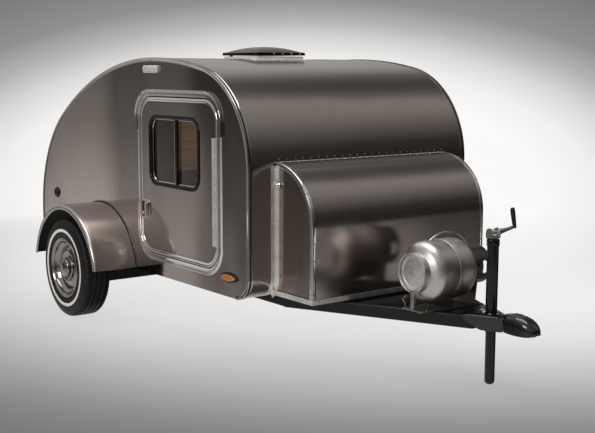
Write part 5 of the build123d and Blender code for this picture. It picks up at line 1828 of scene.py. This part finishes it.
# %% Bottle, foot ring and weld
bottle_low, bottle_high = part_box("gas_bottle")
BOTTLE_X, BOTTLE_Z = (bottle_low.x + bottle_high.x) / 2, (bottle_low.z + bottle_high.z) / 2
BOTTLE_R, BOTTLE_Y = (bottle_high.x - bottle_low.x) / 2, -0.02
FOOT, NECK, DISH_R, KNUCKLE_R, RING_R = -0.15, 0.034, 0.272, 0.052, 0.098
DISH_BACK = sqrt((DISH_R - KNUCKLE_R) ** 2 - (BOTTLE_R - KNUCKLE_R) ** 2)
DISH_A = degrees(asin((BOTTLE_R - KNUCKLE_R) / (DISH_R - KNUCKLE_R)))
KNUCKLE_AT = BOTTLE_R - KNUCKLE_R
WELD_Y = -0.053
foot_end = [(FOOT + DISH_BACK - DISH_R * cosd(a), DISH_R * sind(a)) for a in spread(16, 0, DISH_A)]
foot_end += [(FOOT - KNUCKLE_R * cosd(a), KNUCKLE_AT + KNUCKLE_R * sind(a)) for a in spread(12, DISH_A, 90)[1:]]
weld = [(WELD_Y + d, BOTTLE_R - dip) for d, dip in mm([
    (-7.5, 0.4), (-5.2, 0.4), (-3, 0), (-0.6, 0), (1.6, 0), (4, 1.1), (6.2, 0.4)])]
neck_end = arc(NECK, KNUCKLE_AT, KNUCKLE_R, spread(12, 90, DISH_A))
neck_end += arc(NECK - DISH_BACK, 0, DISH_R, spread(16, DISH_A, 0)[1:])
vessel = foot_end + weld + neck_end
bottle_at = (BOTTLE_X, BOTTLE_Y, BOTTLE_Z)
foot_y0 = bottle_low.y - BOTTLE_Y
ring = [(foot_y0 + a, RING_R - r) for a, r in mm([(1, 5), (0, 3.5), (0, 1.5), (1.2, 0)])]
ring += [(FOOT + a, RING_R + r) for a, r in mm([(-52, 0), (-48, 2.4), (-42, 3.2), (-52, -4)])]
ring += [(foot_y0 + 0.01, RING_R - 0.0052)]
# the spun end inside the foot ring, with its stamped ring
disc = [(foot_y0 + a, RING_R - r) for a, r in mm([(20, 5), (15, 7.5), (13.5, 12)])]
disc += [(foot_y0 + a, r) for a, r in mm([(15, 79), (12.5, 77), (12, 74), (13.5, 72), (11, 40), (10.5, 0)])]
bottle = piece(
    "bottle_vessel", joined(turned(vessel, bottle_at, 112), turned(ring, bottle_at, 96, closed=True)),
    bottle_metal, 35)
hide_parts("gas_bottle")
piece("bottle_end_disc", turned(disc, bottle_at, 80), bottle_end, 35)
bead = [(WELD_Y + 0.0034 * cosd(a), BOTTLE_R - 0.001 + 0.002 * sind(a)) for a in range(0, 360, 45)]
piece("bottle_weld", turned(bead, bottle_at, 96, closed=True), bottle_end, 60)
print("bottle", round(2 * BOTTLE_R, 3), "wide")

# %% [markdown]
# The collar is a rolled strip with two hand slots. A strip that is wrapped to a cylinder is easy as
# a grid: the faces inside a slot are simply left out, and a solidify modifier gives it thickness.

# %% Collar, valve and carrying bow
collar_low, collar_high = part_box("bottle_collar")
C0, C1 = collar_low.y, collar_high.y
ys = spread(14, C0, C1)
STEPS = 120
turns = [2 * pi * k / STEPS for k in range(STEPS)]
guard_r = RING_R - 0.0022
points = [(BOTTLE_X + guard_r * cos(a), y, BOTTLE_Z + guard_r * sin(a)) for y in ys for a in turns]
faces = []
for i in range(len(ys) - 1):
    for k in range(STEPS):
        a = (k + 0.5) * 360 / STEPS
        middle = (ys[i] + ys[i + 1]) / 2
        off = min(abs((a - c + 180) % 360 - 180) for c in (0, 180))
        slot_half = 0.0145 * sqrt(max(0.0, 1 - (off / 20) ** 4)) + 0.002
        if off < 20 and abs(middle - (C0 + 0.084)) < slot_half:
            continue
        low, high, m = i * STEPS, (i + 1) * STEPS, (k + 1) % STEPS
        faces.append((low + k, low + m, high + m, high + k))
collar = piece("bottle_guard", (points, faces), dark_bottle, 50)
thick = collar.modifiers.new("sheet", "SOLIDIFY")
thick.thickness = 0.0036
thick.offset = 0.0
add_bevel(collar, 0.0009)
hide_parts("bottle_collar")
neck_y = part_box("bottle_valve")[0].y
valve_body = mm([
    (0, 0), (0, 15.5), (10, 15.5), (12, 11), (22, 11), (24, 14), (44, 14), (46, 9.5), (52, 9.5), (54, 12),
    (59.5, 11), (59.8, 0),
])
outlet_up = mm([(0, 0), (0, 10.8), (16, 10.8), (17, 12.8), (36, 12.8), (38, 11.2), (46, 11.2), (46, 0)])
stem_up = turned(outlet_up, (BOTTLE_X, neck_y + 0.034, BOTTLE_Z), 20, "z")
valve = piece(
    "bottle_valve_body",
    joined(turned(valve_body, (BOTTLE_X, neck_y, BOTTLE_Z), 24), stem_up),
    brass, 35)
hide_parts("bottle_valve")
bow_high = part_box("bottle_bow")[1]
BOW_C, BOW_R = (BOTTLE_Y - 0.015, BOTTLE_Z - 0.006), 0.19
# the bow starts on the vessel's skin and ends on the collar
bow_path = []
for a in spread(40, 128, 28):
    y, z = on_arc(BOW_C, BOW_R, a)
    height = z - BOTTLE_Z
    rim = BOTTLE_R if y < BOTTLE_Y + NECK else RING_R if y > C0 - 0.006 else 0.0
    if height > rim - 0.003 and y < bow_high.y:
        bow_path.append((Vector((BOTTLE_X, y, z)), Vector((0, cosd(a), sind(a))), Vector((1, 0, 0))))
round_rod = arc(0, 0, 0.0048, range(0, 360, 36))
bow = piece("bottle_bow_rod", carried(round_rod, bow_path), chrome, 60)
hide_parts("bottle_bow")
print("collar faces", len(faces), "bow points", len(bow_path))

# %% [markdown]
# The cradle is folded zinc plate: a base on the drawbar's deck, a post under the foot ring, a curved
# saddle under the collar, and a wire hook beside the post.

# %% Bottle cradle
cradle_low, cradle_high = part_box("bottle_cradle")
TRAY_Z = cradle_low.z
tray_y = rail_out(BOTTLE_X + 0.09) - 0.006
tray_plate = block(BOTTLE_X - 0.09, BOTTLE_X + 0.09, -tray_y, tray_y, TRAY_Z - 0.0048, TRAY_Z - 0.0002)
deck_back, deck_front = box_x1 - 0.02, PLATE_X + 0.03
half_back, half_front = rail_out(deck_back) - 0.012, rail_out(deck_front) - 0.012
deck_loop = [(deck_back, -half_back), (deck_front, -half_front), (deck_front, half_front),
    (deck_back, half_back)]
deck_sheet = stacked([(z, deck_loop) for z in (RAIL_TOP + 0.0002, RAIL_TOP + 0.0012)])
piece("bottle_deck", joined(tray_plate, deck_sheet), black_paint, 30, 0.0004)
post_y = cradle_low.y + 0.014
base_plate = block(BOTTLE_X - 0.07, BOTTLE_X + 0.07, cradle_low.y, -tray_y + 0.06, TRAY_Z, TRAY_Z + 0.0058)
post_top = BOTTLE_Z - RING_R - 0.0002
post = block(BOTTLE_X - 0.0115, BOTTLE_X + 0.0115, post_y - 0.0095, post_y + 0.0095, TRAY_Z + 0.005, post_top)
cradle = piece("bottle_post", joined(base_plate, post), zinc, 30, 0.0016)
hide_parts("bottle_cradle")
saddle_y1 = cradle_high.y
saddle_y0 = saddle_y1 - 0.036
ends_z = BOTTLE_Z - 0.06
loop = [(BOTTLE_X - 0.07, TRAY_Z), (BOTTLE_X + 0.07, TRAY_Z), (BOTTLE_X + 0.084, ends_z - 0.008),
    (BOTTLE_X + 0.076, ends_z)]
SADDLE_R = RING_R + 0.0004
start = degrees(asin(0.06 / SADDLE_R))
loop += arc(BOTTLE_X, BOTTLE_Z, SADDLE_R, spread(19, -start, -180 + start))
loop += [(BOTTLE_X - 0.084, ends_z - 0.008)]
web = plate([loop], saddle_y0 + 0.015, saddle_y0 + 0.018)
bed = []
for a in spread(19, -start, -180 + start):
    inner_edge, outer_edge = (on_arc((BOTTLE_X, BOTTLE_Z), r, a) for r in (SADDLE_R, RING_R + 0.0032))
    far = saddle_y1 - 0.0002
    corners = ((inner_edge, saddle_y0), (inner_edge, far), (outer_edge, far), (outer_edge, saddle_y0))
    bed.append([(x, y, z) for (x, z), y in corners])
foot_plate = block(BOTTLE_X - 0.069, BOTTLE_X + 0.069, saddle_y0, saddle_y1 - 0.0002, TRAY_Z, TRAY_Z + 0.003)
piece("bottle_saddle", joined(web, lofted(bed), foot_plate), zinc, 30, 0.0008)
heads = [((BOTTLE_X + x, post_y + 0.04, TRAY_Z + 0.0058), (0, 0, 1)) for x in (-0.05, 0.05)]
piece("bottle_post_bolts", rivets(heads, 0.008, 0.0055, 6), zinc)
hook_at = Vector((BOTTLE_X - 0.06, post_y + 0.002, TRAY_Z + 0.0058))
hook = [hook_at + Vector(step) for step in mm([
    (0, 0, 0), (4, 0, 18), (-16, -4, 36), (-14, -4, 46), (8, 0, 62), (14, 0, 58)])]
rod("bottle_hook", hook, 0.0022, zinc, "trailer", 3)
print("saddle from", round(saddle_y0, 3))

# %% [markdown]
# ## Inside
#
# Through the door glass and under the hatch the trailer is birch plywood: the floor, the bulkhead
# with its shelf, and the galley with a counter. The CAD pieces have the right shape, so they only
# get wood.

# %% Wood for the pieces that stay
def dress(node, *materials):
    """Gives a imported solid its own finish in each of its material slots."""
    mesh = bpy.data.objects[node].data
    for k in range(max(1, len(mesh.materials))):
        if k < len(mesh.materials):
            mesh.materials[k] = materials[min(k, len(materials) - 1)]
        else:
            mesh.materials.append(materials[0])


dress("floor_panel", birch_side)
dress("bulkhead", birch_cross)
dress("galley_cabinet", birch_cross)
dress("tail_sill", roof_skin_metal)
dress("hatch_handle", chrome)
for side in ("right", "left"):
    dress(f"door_glass_{side}", window_glass)
print("dressed nodes", 7)

# %% [markdown]
# The mattress is a padded thing, so it is blown up as one: a smaller block of even cells swells as
# cloth under pressure while its seams are held, and no point may move further than a set distance.
# The quilted channels and the piping come after that, because small cells are needed for them.

# %% Mattress
bed_low, bed_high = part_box("mattress")
bed_mid = (bed_low + bed_high) / 2
SWELL, CELL = 0.011, 0.02
bed_node = bpy.data.objects["mattress"]
pad_mesh = bed_node.data.copy()
pad_mesh.transform(bed_node.matrix_world)
pad_mesh.materials.clear()
for v in pad_mesh.vertices:
    for k in range(3):
        half = (bed_high[k] - bed_low[k]) / 2
        v.co[k] = bed_mid[k] + (v.co[k] - bed_mid[k]) * (half - SWELL) / half
pad = bpy.data.objects.new("mattress_pad", pad_mesh)
bpy.context.scene.collection.objects.link(pad)
cells = pad.modifiers.new("cells", "REMESH")
cells.mode = "VOXEL"
cells.voxel_size = CELL


def settled(obj):
    """The mesh of an object with its modifiers applied."""
    return bpy.data.meshes.new_from_object(obj.evaluated_get(bpy.context.evaluated_depsgraph_get()))


pad_mesh = settled(pad)
pad.modifiers.clear()
pad.data = pad_mesh
rest = [v.co.copy() for v in pad_mesh.vertices]
SEAMS = (bed_low.z + SWELL + 0.012, bed_high.z - SWELL - 0.022)
held = pad.vertex_groups.new(name="held")
for v in pad_mesh.vertices:
    near = min(bed_high.x - v.co.x, v.co.x - bed_low.x, bed_high.y - v.co.y, v.co.y - bed_low.y)
    on_seam = near < SWELL + CELL and min(abs(v.co.z - z) for z in SEAMS) < CELL * 0.45
    if on_seam or v.co.z < bed_low.z + SWELL + 0.004:
        held.add([v.index], 1.0, "REPLACE")
swell = pad.modifiers.new("swell", "CLOTH")
swell.settings.use_pressure = True
swell.settings.uniform_pressure_force = 4.0
swell.settings.effector_weights.gravity = 0.0
swell.settings.vertex_group_mass = "held"
for frame in range(1, 21):
    bpy.context.scene.frame_set(frame)
    bpy.context.view_layer.update()
blown = [v.co.copy() for v in pad.evaluated_get(bpy.context.evaluated_depsgraph_get()).data.vertices]
pad.modifiers.clear()
pad.vertex_groups.clear()
bpy.context.scene.frame_set(1)
for v, start, stop in zip(pad_mesh.vertices, rest, blown):
    step = stop - start
    v.co = start + step * min(1.0, (SWELL - 0.001) / max(step.length, 1e-6))
for v in pad_mesh.vertices:
    v.co.z -= SWELL * 0.9 * max(0.0, min(1.0, (bed_high.z - v.co.z) / (bed_high.z - bed_low.z)))
finer = pad.modifiers.new("finer", "SUBSURF")
finer.levels = finer.render_levels = 1
pad_mesh = settled(pad)
pad.modifiers.clear()
pad.data = pad_mesh
CHANNEL, DIP = 0.21, 0.007
for v in pad_mesh.vertices:
    if v.co.z > SEAMS[1] + 0.012:
        inward = min(bed_high.x - v.co.x, v.co.x - bed_low.x, bed_high.y - v.co.y, v.co.y - bed_low.y)
        deep = 0.0
        for along_axis, middle_at in ((v.co.x, bed_mid.x), (v.co.y, bed_mid.y)):
            off = abs((along_axis - middle_at + CHANNEL / 2) % CHANNEL - CHANNEL / 2)
            deep = max(deep, max(0.0, 1 - off / 0.022) ** 2)
        v.co.z -= DIP * deep * min(1.0, max(0.0, (inward - 0.03) / 0.05))
pad_mesh.materials.append(mattress_cloth)
pad_mesh.polygons.foreach_set("use_smooth", [True] * len(pad_mesh.polygons))
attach(pad, "trailer")
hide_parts("mattress")
piping = []
for z in (SEAMS[0] - SWELL * 0.7, SEAMS[1] - 0.002):
    inset = SWELL - 0.001
    round_it = rounded_path(bed_low.x + inset, bed_high.x - inset, bed_low.y + inset, bed_high.y - inset, 0.048)
    piping.append(carried(small_circle,
        [(Vector((x, y, z)), Vector((nx, ny, 0)), Vector((0, 0, 1))) for x, y, nx, ny in round_it], True))
piece("mattress_piping", joined(*piping), mattress_cloth, 60)
print("mattress cells", len(pad_mesh.polygons))


# %% [markdown]
# ## Light and floor
#
# The trailer stands in a pale studio. What polished metal shows is its surroundings, so the world has
# three pictures. The camera sees a glowing wall that falls off to grey at the top and the corners.
# Reflections see a room that is bright behind the trailer's tail, dark ahead of it, and lit overhead.
# All other light comes evenly from every side.

# %% World seen by the camera and by reflections
world = bpy.data.worlds.new("studio")
bpy.context.scene.world = world
world.use_nodes = True
sky_tree = world.node_tree
sky_tree.nodes.clear()


def ramp(tree, value, stops, low=0.0, high=1.0):
    """A grey tone, a little warm, for a value that runs from low to high."""
    span = node(tree, "MapRange", {"Value": value, "From Min": low, "From Max": high})
    made = node(tree, "ValToRGB", {"Fac": span.outputs["Result"]})
    elements = made.color_ramp.elements
    while len(elements) < len(stops):
        elements.new(0.5)
    for element, (position, tone) in zip(elements, stops):
        element.position = (position - low) / (high - low)
        element.color = (tone, tone * 0.99, tone * 0.98, 1)
    return made.outputs["Color"]


def turn_ramp(stops):
    """A tone by the direction round the trailer, in degrees from +X towards +Y."""
    return ramp(sky_tree, turn, [(radians(a), tone) for a, tone in stops], -pi, pi)


def vector_math(tree, operation, first, second=None):
    inputs = {0: first, 1: second} if second else {0: first}
    return node(tree, "VectorMath", inputs, operation=operation).outputs["Value"]


def number_math(tree, operation, first, second):
    return node(tree, "Math", {0: first, 1: second}, operation=operation).outputs["Value"]


def chosen(tree, factor, first, second):
    """The first colour where the factor is 0, and the second where it is 1."""
    inputs = {key: (*value, 1) if isinstance(value, tuple) else value for key, value in (("A", first), ("B", second))}
    return node(tree, "Mix", {"Factor": factor, **inputs}, data_type="RGBA").outputs["Result"]


looking = node(sky_tree, "TexCoord").outputs["Generated"]
split = node(sky_tree, "SeparateXYZ", {"Vector": looking})

GLOW_DOWN = 0.113
ACROSS = (0.603, 0.798, 0.0)
lateral = number_math(sky_tree, "ABSOLUTE", vector_math(sky_tree, "DOT_PRODUCT", looking, ACROSS), 0.0)
lateral = number_math(sky_tree, "MINIMUM", number_math(sky_tree, "MULTIPLY", lateral, 0.45), 0.12)
rise = number_math(sky_tree, "ADD", split.outputs["Z"], GLOW_DOWN)
spot = node(sky_tree, "CombineXYZ", {"X": rise, "Y": lateral})
from_glow = vector_math(sky_tree, "LENGTH", spot.outputs["Vector"])
wall_tones = [
    (0.0, 0.99), (0.1, 0.97), (0.122, 0.88), (0.14, 0.7), (0.158, 0.46), (0.178, 0.28), (0.21, 0.2),
    (0.3, 0.17),
]
seen = ramp(sky_tree, from_glow, wall_tones, 0.0, 0.35)

turn = number_math(sky_tree, "ARCTAN2", split.outputs["Y"], split.outputs["X"])
turn_tones = [
    # degrees from +X towards +Y, tone
    (-180, 0.6), (-160, 0.3), (-157.5, 0.4), (-155.5, 0.85), (-153.6, 0.92), (-152.6, 0.42), (-151.6, 0.34),
    (-150.9, 0.62), (-149.6, 0.52), (-148.2, 0.34), (-147, 0.16), (-140, 0.1), (-120, 0.22), (-90, 0.55),
    (-50, 0.4), (-15, 0.12), (10, 0.06), (60, 0.05), (112, 0.08), (128, 0.3), (141, 0.5), (155, 0.5),
    (180, 0.6),
]
around = turn_ramp(turn_tones)
lift_tones = [(-1.0, 0.5), (-0.35, 0.9), (-0.16, 1.0), (-0.1, 0.72), (-0.05, 0.42), (0.0, 0.28), (0.15, 0.9),
    (1.0, 1.0)]
by_height = ramp(sky_tree, split.outputs["Z"], lift_tones, -1.0, 1.0)
settings = {"data_type": "RGBA", "blend_type": "MULTIPLY"}
product = node(sky_tree, "Mix", {"Factor": 1.0, "A": around, "B": by_height}, **settings)
ceiling_tones = [
    (-180, 0.62), (-90, 0.62), (-30, 0.42), (30, 0.28), (50, 0.36), (73, 0.48), (86, 0.2), (98, 0.11),
    (112, 0.11), (124, 0.2), (138, 0.52), (180, 0.6),
]
ceiling = turn_ramp(ceiling_tones)
ceiling_share = ramp(sky_tree, split.outputs["Z"], [(0.25, 0.0), (0.65, 1.0)])
low_share = ramp(sky_tree, split.outputs["Z"], [(-0.32, 1.0), (-0.19, 0.0)], -1.0, 1.0)
mirrored = chosen(sky_tree, ceiling_share, product.outputs["Result"], ceiling)
low_tone = turn_ramp([(-60, 0.62), (20, 0.6), (38, 0.6), (41, 0.3), (43, 0.08), (90, 0.08), (130, 0.62)])
mirrored = chosen(sky_tree, low_share, mirrored, low_tone)
# a low bright window ahead of the trailer, which crosses the box lid as a streak
window_turn = turn_ramp([(30, 0.0), (35, 1.0), (40, 1.0), (44, 0.0)])
window_lift = ramp(sky_tree, split.outputs["Z"], [(-0.2, 0.0), (-0.18, 1.0), (-0.166, 1.0), (-0.15, 0.0)], -1.0,
    1.0)
mirrored = chosen(sky_tree, number_math(sky_tree, "MULTIPLY", window_turn, window_lift), mirrored,
    (2.6, 2.54, 2.48))

rays = node(sky_tree, "LightPath")
tone = chosen(sky_tree, rays.outputs["Is Glossy Ray"], (0.4, 0.395, 0.39), mirrored)
tone = chosen(sky_tree, rays.outputs["Is Camera Ray"], tone, seen)
sky = node(sky_tree, "Background", {"Color": tone})
node(sky_tree, "OutputWorld", {"Surface": sky.outputs["Background"]})
print("world tones", len(wall_tones), len(turn_tones), len(lift_tones))

# %% [markdown]
# The floor is a pale sheet that fades into the wall with distance, so there is no horizon. To the
# camera it glows round a point behind the trailer and keeps only a faint shadow, as in a light tent.
# Reflections pass through it and see the room.

# %% Floor
floor_material = bpy.data.materials.new("studio_floor")
floor_material.use_nodes = True
floor_tree = floor_material.node_tree
floor_tree.nodes.clear()
spot_on = own_place(floor_tree)
GLOW_AT = (-1.49, 2.18, 0.0)
away = vector_math(floor_tree, "DISTANCE", spot_on, GLOW_AT)
floor_tones = [
    (0.0, 1.0), (2.3, 0.97), (2.9, 0.88), (3.3, 0.74), (3.7, 0.56), (4.0, 0.42), (4.3, 0.29), (4.6, 0.18),
    (4.9, 0.12), (5.4, 0.1), (7.0, 0.25),
]
glow = node(floor_tree, "Emission", {"Color": ramp(floor_tree, away, floor_tones, 0.0, 7.0)})
clouds = noise_at(floor_tree, (1, 1, 1), 0.6, 3.0)
paper_tone = clouded(floor_tree, clouds, (0.66, 0.65, 0.64), (0.62, 0.61, 0.6))
paper = node(floor_tree, "BsdfDiffuse", {"Color": paper_tone})
SHADOW_SHARE = 0.18
floor_rays = node(floor_tree, "LightPath")


def mixed_shader(tree, factor, first, second):
    return node(tree, "MixShader", {"Fac": factor, 1: first, 2: second}).outputs["Shader"]


glow_share = number_math(floor_tree, "MULTIPLY", floor_rays.outputs["Is Camera Ray"], 1.0 - SHADOW_SHARE)
surface = mixed_shader(floor_tree, glow_share, paper.outputs["BSDF"], glow.outputs["Emission"])
FADE_FROM, FADE_TO = 2.2, 5.5
fade = ramp(floor_tree, vector_math(floor_tree, "LENGTH", spot_on), [(FADE_FROM, 0.0), (FADE_TO, 1.0)], 0.0,
    10.0)
hidden = number_math(floor_tree, "MAXIMUM", fade, floor_rays.outputs["Is Glossy Ray"])
clear = node(floor_tree, "BsdfTransparent")
surface = mixed_shader(floor_tree, hidden, surface, clear.outputs["BSDF"])
node(floor_tree, "OutputMaterial", {"Surface": surface})
FLOOR_HALF = 14
mesh = bpy.data.meshes.new("studio_floor")
floor_corners = [(x * FLOOR_HALF, y * FLOOR_HALF, 0) for x, y in ((-1, -1), (1, -1), (1, 1), (-1, 1))]
mesh.from_pydata(floor_corners, [], [(0, 1, 2, 3)])
mesh.materials.append(floor_material)
studio_floor = bpy.data.objects.new("studio_floor", mesh)
bpy.context.scene.collection.objects.link(studio_floor)


def soft_light(name, place, aim, size, watts, tone=(1.0, 0.985, 0.97)):
    data = bpy.data.lights.new(name, "AREA")
    data.shape = "RECTANGLE"
    data.size, data.size_y = size
    data.energy = watts
    data.color = tone
    lamp = bpy.data.objects.new(name, data)
    lamp.location = place
    lamp.rotation_euler = (Vector(aim) - Vector(place)).to_track_quat("-Z", "Y").to_euler()
    bpy.context.scene.collection.objects.link(lamp)
    return lamp


soft_light("overhead", (0.2, -0.6, 5.0), (0.0, 0.0, 0.6), (4.0, 3.0), 110)
soft_light("side_bank", (1.2, -6.0, 3.0), (-0.2, -0.5, 0.6), (2.4, 1.6), 90)
soft_light("cabin_lamp", (-0.4, 0.0, 1.36), (-0.45, 0.25, 0.6), (0.4, 0.25), 1.3)
